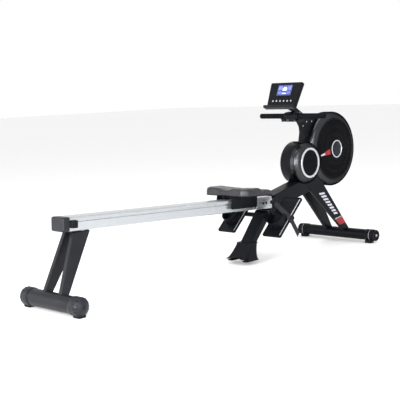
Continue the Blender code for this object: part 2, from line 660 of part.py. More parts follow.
def fan_wheel():
    """The blower wheel: a hub and back disc with straight radial blades."""
    spin = body_frame("fan_axis", Matrix.Translation(FAN))
    clearance = AXLE_R + 0.0001
    back, disc, front = -0.002, 0.0025, 0.036
    profile = [(clearance, front), (0.022, front), (0.022, back + disc), (FAN_WHEEL_R, back + disc),
               (FAN_WHEEL_R, back), (clearance, back)]
    wheel = turned("fan_wheel", profile, BLACK_PLASTIC, spin, ring=True, segments=28)
    blades = 10
    for index in range(blades):
        angle = 2 * math.pi * index / blades
        height = front - back - disc + 0.001
        middle = (0.020 + FAN_WHEEL_R - 0.001) / 2
        blade = box(f"fan_blade_{index}", (FAN_WHEEL_R - 0.021, height, 0.0025), BLACK_PLASTIC, spin,
                    (middle * math.cos(angle), -(back + disc - 0.001 + height / 2),
                     middle * math.sin(angle)), (0, -angle, 0))
        join(wheel, blade)
    disc_far, disc_near = 0.011, 0.0025
    pulley = [(clearance, -disc_near), (FAN_WHEEL_R, -disc_near), (FAN_WHEEL_R, -disc_far),
              (FAN_PULLEY_R + 0.004, -disc_far), (FAN_PULLEY_R + 0.004, -0.0155),
              (FAN_PULLEY_R, -0.0165), (FAN_PULLEY_R, -0.0315), (FAN_PULLEY_R + 0.004, -0.0325),
              (FAN_PULLEY_R + 0.004, -0.035), (clearance, -0.035)]
    turned("flywheel", pulley, ALUMINIUM, spin, ring=True)


def drive():
    """The drive pulley, the belt to the fan and the strap reel beside it."""
    spin = body_frame("drive_axis", Matrix.Translation(DRUM))
    clearance = AXLE_R + 0.0001
    rim = DRIVE_PULLEY_R + 0.004
    profile = [(clearance, -0.0145), (rim, -0.0145), (rim, -0.0165), (DRIVE_PULLEY_R, -0.0170),
               (DRIVE_PULLEY_R, -0.0310), (rim, -0.0315), (rim, -0.0335), (clearance, -0.0335)]
    turned("drive_pulley", profile, GREY_PLASTIC, spin, ring=True)
    reel = body_frame("reel_axis", Matrix.Translation(DRUM))
    flange = REEL_HUB_R + 0.016
    profile = [(clearance, 0.0440), (flange, 0.0440), (flange, 0.0415), (REEL_HUB_R, 0.0415),
               (REEL_HUB_R, -0.0105), (flange, -0.0105), (flange, -0.0130), (clearance, -0.0130)]
    turned("strap_reel", profile, GREY_PLASTIC, reel, ring=True)
    drive_belt()


def drive_belt():
    """A flat ribbed belt: tangent runs and arcs around the two pulleys."""
    offset = FAN - DRUM
    distance, heading = offset.length, math.degrees(math.atan2(offset.z, offset.x))
    lean = math.degrees(math.acos((DRIVE_PULLEY_R - FAN_PULLEY_R) / distance))
    loops = []
    for grow in (0.0035, 0.0008):
        big = arc((DRUM.x, DRUM.z), DRIVE_PULLEY_R + grow, heading + lean, heading + 360 - lean, 28)
        small = arc((FAN.x, FAN.z), FAN_PULLEY_R + grow, heading - lean, heading + lean, 14)
        loops.append(big + small)
    plate("drive_belt", loops[0], 2 * BELT_HALF_WIDTH, RUBBER, None, (0, BELT_Y, 0), holes=[loops[1]])


# ---------------------------------------------------------------- mast, handle and console
def mast():
    """The curved neck from the drum up to the handle rest and the console's hinge."""
    left = [(0.700, 0.610), (0.709, 0.648), (0.717, 0.686), (0.712, 0.718), (0.694, 0.742),
            (0.680, 0.757), (0.670, 0.778), (0.646, 0.810), (0.611, 0.824)]
    knuckle = arc((CONSOLE_HINGE.x, CONSOLE_HINGE.z), 0.0115, 255, 55, 9)
    right = [(0.604, 0.852), (0.650, 0.838), (0.690, 0.814), (0.730, 0.792), (0.780, 0.778),
             (0.846, 0.768), (0.880, 0.740), (0.880, 0.610)]
    opening = [(0.724, 0.648), (0.768, 0.648), (0.762, 0.682), (0.727, 0.690)]
    neck = plate("mast", left + knuckle + right, MAST_THICK, BLACK_PLASTIC, holes=[opening])
    drum_seat = rod("mast_drum_seat", DRUM_R + SADDLE_GAP, 0.3, BLACK_PLASTIC, None, DRUM,
                    segments=SADDLE_SEGMENTS)
    fan_seat = rod("mast_fan_seat", FAN_R + SADDLE_GAP, 0.3, BLACK_PLASTIC, None, FAN,
                   segments=SADDLE_SEGMENTS)
    hub_room = HUB_R + 0.0015
    handle_room = rod("handle_room", hub_room, 0.3, BLACK_PLASTIC, None, HANDLE)
    way_out = box("handle_way_out", (0.200, 0.3, 2 * hub_room), BLACK_PLASTIC, None,
                  HANDLE - Vector((0.100, 0, 0)))
    strap_way = box("strap_way", (0.120, STRAP_WIDTH + 0.001, 0.006), BLACK_PLASTIC, None,
                    HANDLE + Vector((0.060, 0, 0)))
    cut(neck, drum_seat, fan_seat, handle_room, way_out, strap_way, rest_tongue("rest_slot", GAP))


def handle_rest():
    """A cradle under the handle, open towards the rower, with a notch for the handle's hub."""
    x0, z0 = HANDLE.x, HANDLE.z
    inner = GRIP_R + 0.0012
    outer = inner + 0.0058
    tongue_bottom = REST_DROP + 0.003
    outline = (arc((x0, z0), outer, 235, 375, 10) + arc((x0, z0), inner, 375, 235, 10))
    rest = plate("handle_rest", outline, 2 * REST_HALF, GREY_PLASTIC)
    web_height = tongue_bottom - outer + 0.002
    web = box("rest_web", (0.016, 2 * REST_HALF, web_height), GREY_PLASTIC, None,
              (x0 + 0.003, 0, z0 - tongue_bottom + web_height / 2))
    hub_notch = rod("rest_notch", HUB_R + 0.0008, 2 * (HUB_HALF + 0.002), GREY_PLASTIC, None, HANDLE)
    join(rest, web, rest_tongue("rest_tongue", 0.0))
    cut(rest, hub_notch)


def rest_tongue(name, grow):
    """The rest's tongue, which sits in a slot in the mast; grown when it cuts that slot."""
    size = (0.070 + 2 * grow, 0.016 + 2 * grow, 0.006 + 2 * grow)
    return box(name, size, GREY_PLASTIC, None, HANDLE + Vector((0.038, 0, -REST_DROP)))


def handle():
    """The pull handle: a bar, two foam grips, the moulded hub and the strap's end."""
    grab = body_frame("handle_axis", Matrix.Translation(HANDLE))
    hub = rod("hub_block", HUB_R, 2 * HUB_HALF, BLACK_PLASTIC, grab, segments=16)
    round_edges(hub, 0.007)
    bar = rod("handle_bar", HANDLE_BAR_R, 2 * HANDLE_HALF - 0.010, BLACK_PLASTIC, grab, segments=16)
    join(bar, hub)
    for side, sign in SIDES.items():
        start, end = HUB_HALF + GAP, HANDLE_HALF
        length = end - start
        hole = HANDLE_BAR_R + GAP
        profile = [(0.0, length), (GRIP_R - 0.003, length), (GRIP_R, length - 0.003),
                   (GRIP_R, 0.0015), (GRIP_R - 0.0015, 0.0), (hole, 0.0), (hole, length - 0.004),
                   (0.0, length - 0.004)]
        turn = (math.pi / 2, 0, 0) if sign == NEAR else (-math.pi / 2, 0, 0)
        turned(f"handle_grip_{side}", profile, RUBBER, grab, (0, sign * start, 0), turn, segments=16)
    path = [(HUB_R + 0.0005, 0, 0), (0.040, 0, 0), (0.055, 0, 0), (0.070, 0, 0)]
    band("handle_strap", path, (0, 1, 0), STRAP_WIDTH, 0.0020, WEBBING, grab)


def console_matrix():
    """Local X points at the rower, local Y across and local Z up the console's face."""
    turn = Matrix.Rotation(math.pi, 4, "Z") @ Matrix.Rotation(-CONSOLE_LEAN, 4, "Y")
    return Matrix.Translation(CONSOLE_HINGE) @ turn


def console():
    frame = body_frame("console_axis", console_matrix())
    height = CONSOLE_TOP - CONSOLE_BOTTOM
    corner = 0.008
    half = CONSOLE_HALF_WIDTH
    low, high = CONSOLE_BOTTOM, CONSOLE_TOP
    outline = (arc((half - 0.012 - corner, low + corner), corner, 270, 360, 4)
               + arc((half - corner, high - corner), corner, 0, 90, 4)
               + arc((-half + corner, high - corner), corner, 90, 180, 4)
               + arc((-half + 0.012 + corner, low + corner), corner, 180, 270, 4))
    flat = (math.pi / 2, 0, math.pi / 2)
    case = plate("console_case", outline, CONSOLE_DEPTH, GLOSS_BLACK, frame,
                 (CONSOLE_FACE - CONSOLE_DEPTH / 2, 0, 0), flat)
    ledge = box("console_ledge", (0.040, 2 * half - 0.014, 0.020), GREY_PLASTIC, frame,
                (CONSOLE_FACE + 0.004, 0, low + 0.004), edge=0.006)
    lugs = [box(f"console_lug_{side}", (0.034, 0.006, 0.022), BLACK_PLASTIC, frame,
                (0.0045, sign * (MAST_THICK / 2 + 0.0035), 0.0)) for side, sign in SIDES.items()]
    pockets = [rod(f"button_pocket_{index}", BUTTON_R + 0.0006, 0.014, BLACK_PLASTIC, frame,
                   (CONSOLE_FACE, button_across(index), BUTTON_UP), (0, math.pi / 2, 0), segments=14)
               for index in range(BUTTONS)]
    join(case, ledge, *lugs)
    cut(case, *pockets)
    for index in range(BUTTONS):
        centre = Vector((CONSOLE_FACE, button_across(index), BUTTON_UP))
        seat = body_frame(f"button_{index + 1}_axis", frame.matrix_world @ Matrix.Translation(centre))
        profile = [(0.0, BUTTON_PROUD), (BUTTON_R - 0.0008, BUTTON_PROUD),
                   (BUTTON_R, BUTTON_PROUD - 0.0008), (BUTTON_R, -0.0040), (0.0, -0.0040)]
        turned(f"button_{index + 1}", profile, SILVER, seat, rotation=(0, math.pi / 2, 0), segments=10)


def button_across(index):
    return (index - (BUTTONS - 1) / 2) * BUTTON_STEP


# ---------------------------------------------------------------- rail, rear stand and seat
def rail_matrix():
    """Local X runs along the rail, forwards; local Z is the rail's normal."""
    return Matrix.Translation(PIVOT) @ Matrix.Rotation(RAIL_SLOPE, 4, "Y")


def rail(frame):
    """A hollow aluminium extrusion with a running flange on top and a groove under it."""
    half, top, bottom = RAIL_HALF_WIDTH, RAIL_TOP, RAIL_BOTTOM
    side = ([(half - 0.004, top), (half - 0.0012, top - 0.0012), (half, top - 0.004),
             (half, top - 0.014), (half - 0.0015, top - 0.016), (half - 0.008, top - 0.0175),
             (half - 0.008, top - 0.0235), (half - 0.0035, top - 0.0255),
             (half - 0.0035, bottom + 0.003), (half - 0.0065, bottom)])
    outline = side + [(-y, z) for y, z in reversed(side)]
    wall = 0.0030
    inner_half, inner_top = half - 0.008 - wall, top - 0.0035
    bore = [(inner_half, inner_top), (inner_half, bottom + wall), (-inner_half, bottom + wall),
            (-inner_half, inner_top)]
    length = RAIL_FRONT - RAIL_REAR
    beam = plate("rail", outline, length, ALUMINIUM, frame, ((RAIL_FRONT + RAIL_REAR) / 2, 0, 0),
                 (math.pi / 2, 0, math.pi / 2), holes=[bore])
    bolt = rod("rail_bolt_hole", PIVOT_BOLT_R + GAP, 0.3, ALUMINIUM, frame, segments=24)
    stop = rod("rail_stop_hole", 0.0050 + GAP, 0.3, ALUMINIUM, frame, (STOP_AT, 0, -STOP_DROP))
    cut(beam, bolt, stop)


def rail_fittings(frame):
    """The end cap that plugs the rail, and the cross pin with rubber ends that stops the seat."""
    cap = box("rail_end_cap", (CAP_LENGTH, 0.090, 0.0675), BLACK_PLASTIC, frame,
              (RAIL_REAR - CAP_LENGTH / 2 - GAP, 0, 0.0), edge=0.008)
    plug = box("cap_plug", (0.024, 0.058, 0.054), BLACK_PLASTIC, frame, (RAIL_REAR, 0, -0.0008))
    join(cap, plug)
    end, face, radius = CARRIAGE_Y, RAIL_HALF_WIDTH - 0.0035 + GAP, 0.0150
    profile = [(0.0, end), (radius - 0.003, end), (radius, end - 0.003), (radius, face),
               (0.005, face), (0.005, -face), (radius, -face), (radius, -end + 0.003),
               (radius - 0.003, -end), (0.0, -end)]
    turned("seat_stop", profile, RUBBER, frame, (STOP_AT, 0, -STOP_DROP), segments=16)


def rear_stand(frame):
    """Two splayed legs and a round foot bar under the rail's rear end."""
    into = frame.matrix_world.inverted()
    at = Vector((REAR_FOOT_X, 0, REAR_FOOT_Z))
    for side, sign in SIDES.items():
        lower = (REAR_FOOT_X + 0.001, sign * 0.060, 0.055)
        upper = (-0.983, sign * 0.0275, 0.3440)
        leg = hollow_leg(f"rear_leg_{side}", lower, upper, (0.046, 0.022), (0.100, 0.022),
                         BLACK_PAINT)
        saddle = rod(f"rear_saddle_{side}", REAR_FOOT_R + GAP, 0.5, BLACK_PAINT, None, at,
                     segments=SADDLE_SEGMENTS)
        cut(leg, saddle)
        for piece in (leg, saddle, bpy.data.objects[f"rear_leg_{side}_bore"]):
            adopt(piece, frame, into)
    tube = hollow_tube("rear_foot_tube", REAR_FOOT_R, 0.172, BLACK_PAINT, None, at)
    adopt(tube, frame, into)
    for side, sign in SIDES.items():
        cap = rounded_cap(f"rear_cap_{side}", BLACK_PLASTIC, None, at, REAR_FOOT_R + 0.0035, 0.146,
                          REAR_FOOT_HALF, sign, 0.0, REAR_FOOT_R)
        for piece in [cap] + [change.object for change in cap.modifiers if change.type == "BOOLEAN"]:
            adopt(piece, frame, into)


def adopt(piece, frame, into):
    """Hangs a part that was built in world axes on a body's frame."""
    bpy.context.view_layer.update()
    place = piece.matrix_world.copy()
    piece.parent = frame
    piece.matrix_parent_inverse = into
    piece.matrix_world = place


def seat(rail_frame):
    """The carriage on the rail, its two roller sets, and the seat's base and pad."""
    place = rail_frame.matrix_world @ Matrix.Translation((SEAT_AT, 0, 0))
    frame = body_frame("seat_axis", place)
    sheet = 0.003
    top_z = SEAT_BASE_BOTTOM - GAP
    carriage = box("seat_carriage", (2 * CARRIAGE_HALF, 2 * CARRIAGE_Y, sheet), BLACK_PAINT, frame,
                   (0, 0, top_z - sheet / 2))
    walls = []
    for side, sign in SIDES.items():
        outline = [(-CARRIAGE_HALF, top_z - 0.001), (CARRIAGE_HALF, top_z - 0.001),
                   (CARRIAGE_HALF, -0.010), (CARRIAGE_HALF - 0.006, -0.016),
                   (-CARRIAGE_HALF - 0.004, -0.016), (-CARRIAGE_HALF - 0.010, -0.010)]
        holes = [arc((spread, ROLLER_AXIS), 0.0047, 0, 337.5, 15)
                 for spread in (-ROLLER_SPREAD, ROLLER_SPREAD)]
        walls.append(plate(f"carriage_side_{side}", outline, sheet, BLACK_PAINT, frame,
                           (0, sign * (CARRIAGE_Y - sheet / 2), 0), holes=holes))
    join(carriage, *walls)
    for name, spread in (("rear", -ROLLER_SPREAD), ("front", ROLLER_SPREAD)):
        axis = body_frame(f"roller_{name}_axis", place @ Matrix.Translation((spread, 0, ROLLER_AXIS)))
        wheel_out, wheel_in, shaft, end = 0.0385, 0.0215, 0.0045, CARRIAGE_Y + 0.0005
        profile = [(0.0, end), (shaft, end), (shaft, wheel_out), (ROLLER_R, wheel_out),
                   (ROLLER_R, wheel_in), (shaft, wheel_in), (shaft, -wheel_in),
                   (ROLLER_R, -wheel_in), (ROLLER_R, -wheel_out), (shaft, -wheel_out),
                   (shaft, -end), (0.0, -end)]
        turned(f"seat_roller_{name}", profile, GREY_PLASTIC, axis, segments=16)
    seat_top(frame)


def rounded_rectangle(half_x, half_y, corner, count=5):
    return (arc((half_x - corner, -half_y + corner), corner, 270, 360, count)
            + arc((half_x - corner, half_y - corner), corner, 0, 90, count)
            + arc((-half_x + corner, half_y - corner), corner, 90, 180, count)
            + arc((-half_x + corner, -half_y + corner), corner, 180, 270, count))


def seat_top(frame):
    """The base plate, and a pad whose skirt hangs around it and whose back edge is raised."""
    plate("seat_base", rounded_rectangle(0.112, 0.144, 0.046), SEAT_BASE_THICK, BLACK_PLASTIC, frame,
          (PAD_AT, 0, SEAT_BASE_BOTTOM + SEAT_BASE_THICK / 2), (0, 0, 0))
    pad = plate("seat_pad", rounded_rectangle(PAD_HALF_X, PAD_HALF_Y, 0.056), PAD_LOW - PAD_BOTTOM,
                VINYL, frame, (PAD_AT, 0, (PAD_LOW + PAD_BOTTOM) / 2), (0, 0, 0))
    back_half = PAD_HALF_X / 2
    back = plate("pad_back", rounded_rectangle(back_half, PAD_HALF_Y - 0.002, 0.052),
                 PAD_TALL - PAD_LOW + 0.004, VINYL, frame,
                 (PAD_AT - PAD_HALF_X + back_half + 0.002, 0, (PAD_TALL + PAD_LOW) / 2 - 0.002),
                 (0, 0, 0))
    pocket_top = SEAT_BASE_BOTTOM + SEAT_BASE_THICK + GAP
    pocket = plate("pad_pocket", rounded_rectangle(PAD_HALF_X - PAD_SKIRT, PAD_HALF_Y - PAD_SKIRT,
                                                   0.050), 0.060, VINYL, frame,
                   (PAD_AT, 0, pocket_top - 0.030), (0, 0, 0))
    join(pad, back)
    cut(pad, pocket)


# ---------------------------------------------------------------- assembly
def build():
    front_foot()
    transport_wheels()
    main_beam()
    front_legs()
    pivot_bracket()
    pivot_bolt()
    lock_knob()
    middle_leg()
    pedals()
    drum()
    fan_housing()
    fan_axles()
    fan_wheel()
    drive()
    mast()
    handle_rest()
    handle()
    console()
    rail_frame = body_frame("rail_axis", rail_matrix())
    bpy.context.view_layer.update()
    rail(rail_frame)
    rail_fittings(rail_frame)
    rear_stand(rail_frame)
    seat(rail_frame)
    centre_on_origin()
    bpy.context.view_layer.update()


def centre_on_origin():
    """Moves everything along X, cutters included, so that the origin is under the middle."""
    for thing in [*MACHINE.objects, *CUTTERS.objects]:
        if thing.parent is None:
            thing.matrix_world = Matrix.Translation((-CENTRE_X, 0, 0)) @ thing.matrix_world


build()
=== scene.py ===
"""The looks of the rowing machine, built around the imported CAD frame.

Metres, +Z up, +X towards the fan, -Y is the near side.
"""
import json
from math import cos, exp, hypot, pi, radians, sin, sqrt

import bmesh
import bpy
from mathutils import Matrix, Vector

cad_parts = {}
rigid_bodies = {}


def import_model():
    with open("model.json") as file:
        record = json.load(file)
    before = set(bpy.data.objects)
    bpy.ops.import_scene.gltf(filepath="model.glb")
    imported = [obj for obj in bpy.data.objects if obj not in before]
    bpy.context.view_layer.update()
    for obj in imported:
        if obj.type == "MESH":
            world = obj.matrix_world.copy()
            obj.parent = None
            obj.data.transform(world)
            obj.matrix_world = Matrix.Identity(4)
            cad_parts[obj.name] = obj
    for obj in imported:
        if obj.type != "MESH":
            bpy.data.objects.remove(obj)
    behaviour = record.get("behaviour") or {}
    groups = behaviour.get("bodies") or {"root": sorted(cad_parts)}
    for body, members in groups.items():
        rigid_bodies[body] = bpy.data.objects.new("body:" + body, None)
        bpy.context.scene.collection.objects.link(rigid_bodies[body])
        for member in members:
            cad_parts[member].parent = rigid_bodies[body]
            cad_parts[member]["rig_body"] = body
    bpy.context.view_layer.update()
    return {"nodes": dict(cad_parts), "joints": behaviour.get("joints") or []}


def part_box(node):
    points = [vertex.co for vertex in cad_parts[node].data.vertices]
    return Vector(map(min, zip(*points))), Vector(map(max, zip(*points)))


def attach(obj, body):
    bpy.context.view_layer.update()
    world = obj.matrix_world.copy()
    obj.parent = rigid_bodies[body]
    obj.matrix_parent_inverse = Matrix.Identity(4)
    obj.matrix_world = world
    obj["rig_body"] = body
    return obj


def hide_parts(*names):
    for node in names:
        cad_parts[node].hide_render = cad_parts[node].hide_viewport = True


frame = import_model()
JOINTS = {joint["name"]: joint for joint in frame["joints"]}

NEAR, FAR = -1, 1
SIDES = {"near": NEAR, "far": FAR}
GAP = 0.0003
ORIGIN = Vector((0, 0, 0))
UPRIGHT = Matrix.Rotation(pi / 2, 4, "X")
SIDEWAYS = Matrix.Rotation(pi / 2, 4, "Z")
FACING = SIDEWAYS @ UPRIGHT


def middle(node):
    low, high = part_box(node)
    return (low + high) / 2


# ---------------------------------------------------------------- places taken from the frame
FAN = Vector(JOINTS["fan_spin"]["pos_m"])
DRUM = Vector(JOINTS["drive_spin"]["pos_m"])
PIVOT = Vector(JOINTS["rail_fold"]["pos_m"])
HINGE = Vector(JOINTS["console_tilt"]["pos_m"])
HANDLE = Vector((middle("handle_grip_near").x, 0, middle("handle_grip_near").z))
FRONT_FOOT = middle("front_foot_tube")
REAR_FOOT = middle("rear_foot_tube")

FAN_R, FAN_HALF_DEPTH, GRILLE_R, GRILLE_DOME = 0.224, 0.052, 0.183, 0.008
DRUM_R, DRUM_NEAR, DRUM_SEAM, DRUM_FAR = 0.123, -0.075, -0.022, 0.06
RING_R = 0.088
BAY_R = DRUM_R + 0.0008
PLATE_ANGLE = radians(42.4)
PLATE_LENGTH, PLATE_HALF_WIDTH, PLATE_THICK, PLATE_Y = 0.2775, 0.062, 0.012, 0.162
CUP_AT = 0.094
RAIL_SLOPE = radians(2.7)
RAIL_REAR, RAIL_HALF_WIDTH = -1.413, 0.041
STOP_AT, STOP_DROP = RAIL_REAR + 0.024, 0.008
CAP_LENGTH = 0.04
SEAT_AT, CARRIAGE_Y = -0.232, 0.0555
ROLLER_UP, ROLLER_SPREAD = 0.0446, 0.072
PAD_AT, PAD_HALF_X, PAD_HALF_Y = 0.016, 0.13, 0.155
PAD_BOTTOM, PAD_LOW, PAD_TALL = 0.053, 0.083, 0.093
SEAT_BASE_TOP = 0.0708
GRIP_R, HUB_R, HUB_HALF, HANDLE_HALF, BAR_R = 0.015, 0.026, 0.048, 0.23, 0.011
CONSOLE_LEAN = radians(26.0)
CONSOLE_HALF, CONSOLE_LOW, CONSOLE_HIGH = 0.1127, -0.035, 0.124
CONSOLE_FACE, CONSOLE_DEPTH = 0.04, 0.022
BUTTONS, BUTTON_R, BUTTON_STEP, BUTTON_UP = 6, 0.0055, 0.0255, 0.008
FOOT_TUBE_R, REAR_TUBE_R = 0.0324, 0.04


# ---------------------------------------------------------------- materials
def shader_of(name):
    material = bpy.data.materials.new(name)
    material.use_nodes = True
    nodes = material.node_tree.nodes
    return material, nodes, material.node_tree.links, nodes["Principled BSDF"]


def position(nodes, links, stretch=(1, 1, 1)):
    """Object coordinates, stretched."""
    place = nodes.new("ShaderNodeTexCoord")
    mapping = nodes.new("ShaderNodeMapping")
    mapping.inputs["Scale"].default_value = stretch
    links.new(place.outputs["Object"], mapping.inputs["Vector"])
    return mapping.outputs["Vector"]


def noise(nodes, links, vector, scale, detail=3.0):
    texture = nodes.new("ShaderNodeTexNoise")
    texture.inputs["Scale"].default_value = scale
    texture.inputs["Detail"].default_value = detail
    links.new(vector, texture.inputs["Vector"])
    return texture.outputs["Fac"]


def spread(nodes, links, value, low, high):
    """A value from 0.3 to 0.7, where noise mostly lies, spread over a new range."""
    fit = nodes.new("ShaderNodeMapRange")
    fit.inputs["From Min"].default_value = 0.3
    fit.inputs["From Max"].default_value = 0.7
    fit.inputs["To Min"].default_value = low
    fit.inputs["To Max"].default_value = high
    links.new(value, fit.inputs["Value"])
    return fit.outputs["Result"]


def two_tone(nodes, links, value, colour, change):
    """A colour that drifts lighter and darker by a share of itself."""
    ramp = nodes.new("ShaderNodeValToRGB")
    ramp.color_ramp.elements[0].position = 0.3
    ramp.color_ramp.elements[1].position = 0.7
    ramp.color_ramp.elements[0].color = (*[c * (1 - change) for c in colour], 1)
    ramp.color_ramp.elements[1].color = (*[min(c * (1 + change), 1.0) for c in colour], 1)
    links.new(value, ramp.inputs["Fac"])
    return ramp.outputs["Color"]


def bump(nodes, links, shader, height, strength, distance):
    node = nodes.new("ShaderNodeBump")
    node.inputs["Strength"].default_value = strength
    node.inputs["Distance"].default_value = distance
    links.new(height, node.inputs["Height"])
    links.new(node.outputs["Normal"], shader.inputs["Normal"])


def surface(name, colour, rough, grain_scale, grain_depth, metallic=0.0, change=0.25, stretch=(1, 1, 1),
            specular=0.5, edge=1.0):
    """A coated or moulded surface: colour drift, uneven gloss and a fine grain."""
    material, nodes, links, shader = shader_of(name)
    vector = position(nodes, links, stretch)
    drift = noise(nodes, links, vector, 9.0)
    smudge = noise(nodes, links, vector, 38.0, 5.0)
    grain = noise(nodes, links, vector, grain_scale, 2.0)
    links.new(two_tone(nodes, links, drift, colour, change), shader.inputs["Base Color"])
    links.new(spread(nodes, links, smudge, *rough), shader.inputs["Roughness"])
    bump(nodes, links, shader, grain, 0.5, grain_depth)
    shader.inputs["Metallic"].default_value = metallic
    shader.inputs["Specular IOR Level"].default_value = specular
    shader.inputs["Specular Tint"].default_value = (edge, edge, edge, 1)
    material.diffuse_color = (*colour, 1)
    return material


def cell_surface(name, colour, rough, cell_scale, depth, specular=0.5):
    """A skin with a pebbled grain, such as moulded foam or rubber."""
    material, nodes, links, shader = shader_of(name)
    vector = position(nodes, links)
    cells = nodes.new("ShaderNodeTexVoronoi")
    cells.inputs["Scale"].default_value = cell_scale
    links.new(vector, cells.inputs["Vector"])
    drift = noise(nodes, links, vector, 7.0)
    smudge = noise(nodes, links, vector, 30.0, 4.0)
    links.new(two_tone(nodes, links, drift, colour, 0.25), shader.inputs["Base Color"])
    links.new(spread(nodes, links, smudge, *rough), shader.inputs["Roughness"])
    bump(nodes, links, shader, cells.outputs["Distance"], 0.6, depth)
    shader.inputs["Specular IOR Level"].default_value = specular
    material.diffuse_color = (*colour, 1)
    return material


def woven(name, colour, thread):
    """Webbing: threads across and along, in the piece's own axes."""
    material, nodes, links, shader = shader_of(name)
    heights = []
    for direction in ("X", "Y"):
        wave = nodes.new("ShaderNodeTexWave")
        wave.bands_direction = direction
        wave.inputs["Scale"].default_value = 0.314 / thread
        wave.inputs["Distortion"].default_value = 0.6
        links.new(position(nodes, links), wave.inputs["Vector"])
        heights.append(wave.outputs["Fac"])
    weave = nodes.new("ShaderNodeMath")
    weave.operation = "MULTIPLY"
    links.new(heights[0], weave.inputs[0])
    links.new(heights[1], weave.inputs[1])
    drift = noise(nodes, links, position(nodes, links), 60.0)
    links.new(two_tone(nodes, links, drift, colour, 0.35), shader.inputs["Base Color"])
    links.new(spread(nodes, links, weave.outputs[0], 0.72, 0.9), shader.inputs["Roughness"])
    bump(nodes, links, shader, weave.outputs[0], 0.8, 0.0006)
    shader.inputs["Specular IOR Level"].default_value = 0.2
    material.diffuse_color = (*colour, 1)
    return material


def lit(name, colour, strength):
    """A lit part of the display, slightly uneven."""
    material, nodes, links, shader = shader_of(name)
    drift = noise(nodes, links, position(nodes, links), 30.0)
    tone = two_tone(nodes, links, drift, colour, 0.35)
    links.new(tone, shader.inputs["Emission Color"])
    links.new(tone, shader.inputs["Base Color"])
    shader.inputs["Emission Strength"].default_value = strength
    shader.inputs["Roughness"].default_value = 0.2
    return material


PAINT = surface("black_powder_coat", (0.0026, 0.0035, 0.0052), (0.26, 0.42), 900.0, 0.0002, specular=0.09)
PLASTIC = surface("black_moulding", (0.0026, 0.003, 0.0042), (0.3, 0.46), 700.0, 0.0003, specular=0.1)
END_PLASTIC = surface("end_moulding", (0.0085, 0.0095, 0.0125), (0.3, 0.46), 700.0, 0.0003, specular=0.2)
GLOSS = surface("gloss_black", (0.052, 0.053, 0.057), (0.25, 0.28), 300.0, 0.00001, metallic=1.0, change=0.12,
                edge=0.15)
BEZEL = surface("console_black", (0.003, 0.0036, 0.0046), (0.18, 0.28), 500.0, 0.00005, specular=0.12)
GREY = surface("grey_moulding", (0.0058, 0.0068, 0.009), (0.36, 0.5), 700.0, 0.0003, specular=0.12)
# A lighter copy of the black powder coat for the rear legs and rear foot tube: painted light, for the lighter
# tone they show in the light.
LEG_PAINT_WITH_PAINTED_LIGHT = surface("rear_powder_coat_painted_light", (0.0085, 0.0088, 0.0112), (0.28, 0.44), 900.0, 0.0002, specular=0.15)
BUTTON = surface("button_grey", (0.23, 0.24, 0.26), (0.34, 0.46), 700.0, 0.0001, specular=0.3)
ALUMINIUM = surface("brushed_aluminium", (0.46, 0.48, 0.5), (0.22, 0.36), 260.0, 0.0002, metallic=0.85,
                    change=0.04, stretch=(0.05, 1, 1))
STEEL = surface("ground_steel", (0.3, 0.31, 0.33), (0.22, 0.38), 500.0, 0.0001, metallic=1.0, change=0.1)
SILVER = surface("silver_coat", (0.46, 0.47, 0.5), (0.2, 0.32), 600.0, 0.0001, metallic=0.5, change=0.06)
HUB_FACE = surface("hub_disc", (0.006, 0.009, 0.013), (0.28, 0.38), 500.0, 0.0002, specular=0.15)
RUBBER = cell_surface("rubber", (0.0045, 0.0045, 0.0055), (0.62, 0.8), 900.0, 0.0004, specular=0.12)
FOAM = cell_surface("grip_foam", (0.003, 0.0034, 0.0046), (0.5, 0.7), 1300.0, 0.0002, specular=0.04)
SEAT_SKIN = cell_surface("seat_skin", (0.013, 0.013, 0.016), (0.26, 0.36), 750.0, 0.00035, specular=0.36)
WEBBING = woven("webbing", (0.012, 0.0125, 0.014), 0.0016)
RED = surface("red_paint", (0.25, 0.01, 0.016), (0.25, 0.38), 800.0, 0.0001, specular=0.3)
LIGHT = surface("light_paint", (0.42, 0.43, 0.47), (0.3, 0.42), 800.0, 0.0001, change=0.06)
MESH_BLACK = surface("mesh_black", (0.007, 0.007, 0.009), (0.35, 0.5), 700.0, 0.0002, specular=0.12)
# A near-black matte sheet behind the grilles and in the hub's gap: painted shade, where the real parts show
# only shade through holes and gaps.
SHADE_BACKING = surface("painted_shade_backing", (0.003, 0.003, 0.0042), (0.6, 0.8), 500.0, 0.0002, specular=0.05)
SCREEN = lit("screen_blue", (0.03, 0.04, 0.12), 0.8)
SCREEN_PALE = lit("screen_pale", (0.42, 0.47, 0.6), 0.8)
SCREEN_VIOLET = lit("screen_violet", (0.085, 0.1, 0.27), 0.8)


# ---------------------------------------------------------------- building helpers
def shift(x, y, z):
    return Matrix.Translation((x, y, z))


def linked(name, data):
    thing = bpy.data.objects.new(name, data)
    bpy.context.scene.collection.objects.link(thing)
    return thing


def evaluated_mesh(thing):
    """The mesh that an object's modifiers or curve settings give."""
    bpy.context.view_layer.update()
    graph = bpy.context.evaluated_depsgraph_get()
    return bpy.data.meshes.new_from_object(thing.evaluated_get(graph))


def discard(thing):
    bpy.data.objects.remove(thing, do_unlink=True)


def place(name, mesh, material, body="frame", matrix=None, stands_for=None, slot=None):
    """A finished piece: in the scene, painted, riding on its body, in place of its CAD node."""
    thing = linked(name, mesh)
    if matrix is not None:
        thing.matrix_world = matrix
    mesh.materials.clear()
    mesh.materials.append(material)
    if body:
        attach(thing, body)
    if stands_for:
        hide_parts(stands_for)
    return thing


def to_mesh(bm, name, angle=35):
    bmesh.ops.recalc_face_normals(bm, faces=bm.faces)
    mesh = bpy.data.meshes.new(name)
    bm.to_mesh(mesh)
    bm.free()
    mesh.shade_smooth()
    mesh.set_sharp_from_angle(angle=radians(angle))
    return mesh


def settle(thing, angle=35):
    """Applies a piece's modifiers, and smooths its round faces."""
    mesh = evaluated_mesh(thing)
    thing.modifiers.clear()
    thing.data = mesh
    mesh.shade_smooth()
    mesh.set_sharp_from_angle(angle=radians(angle))
    return thing


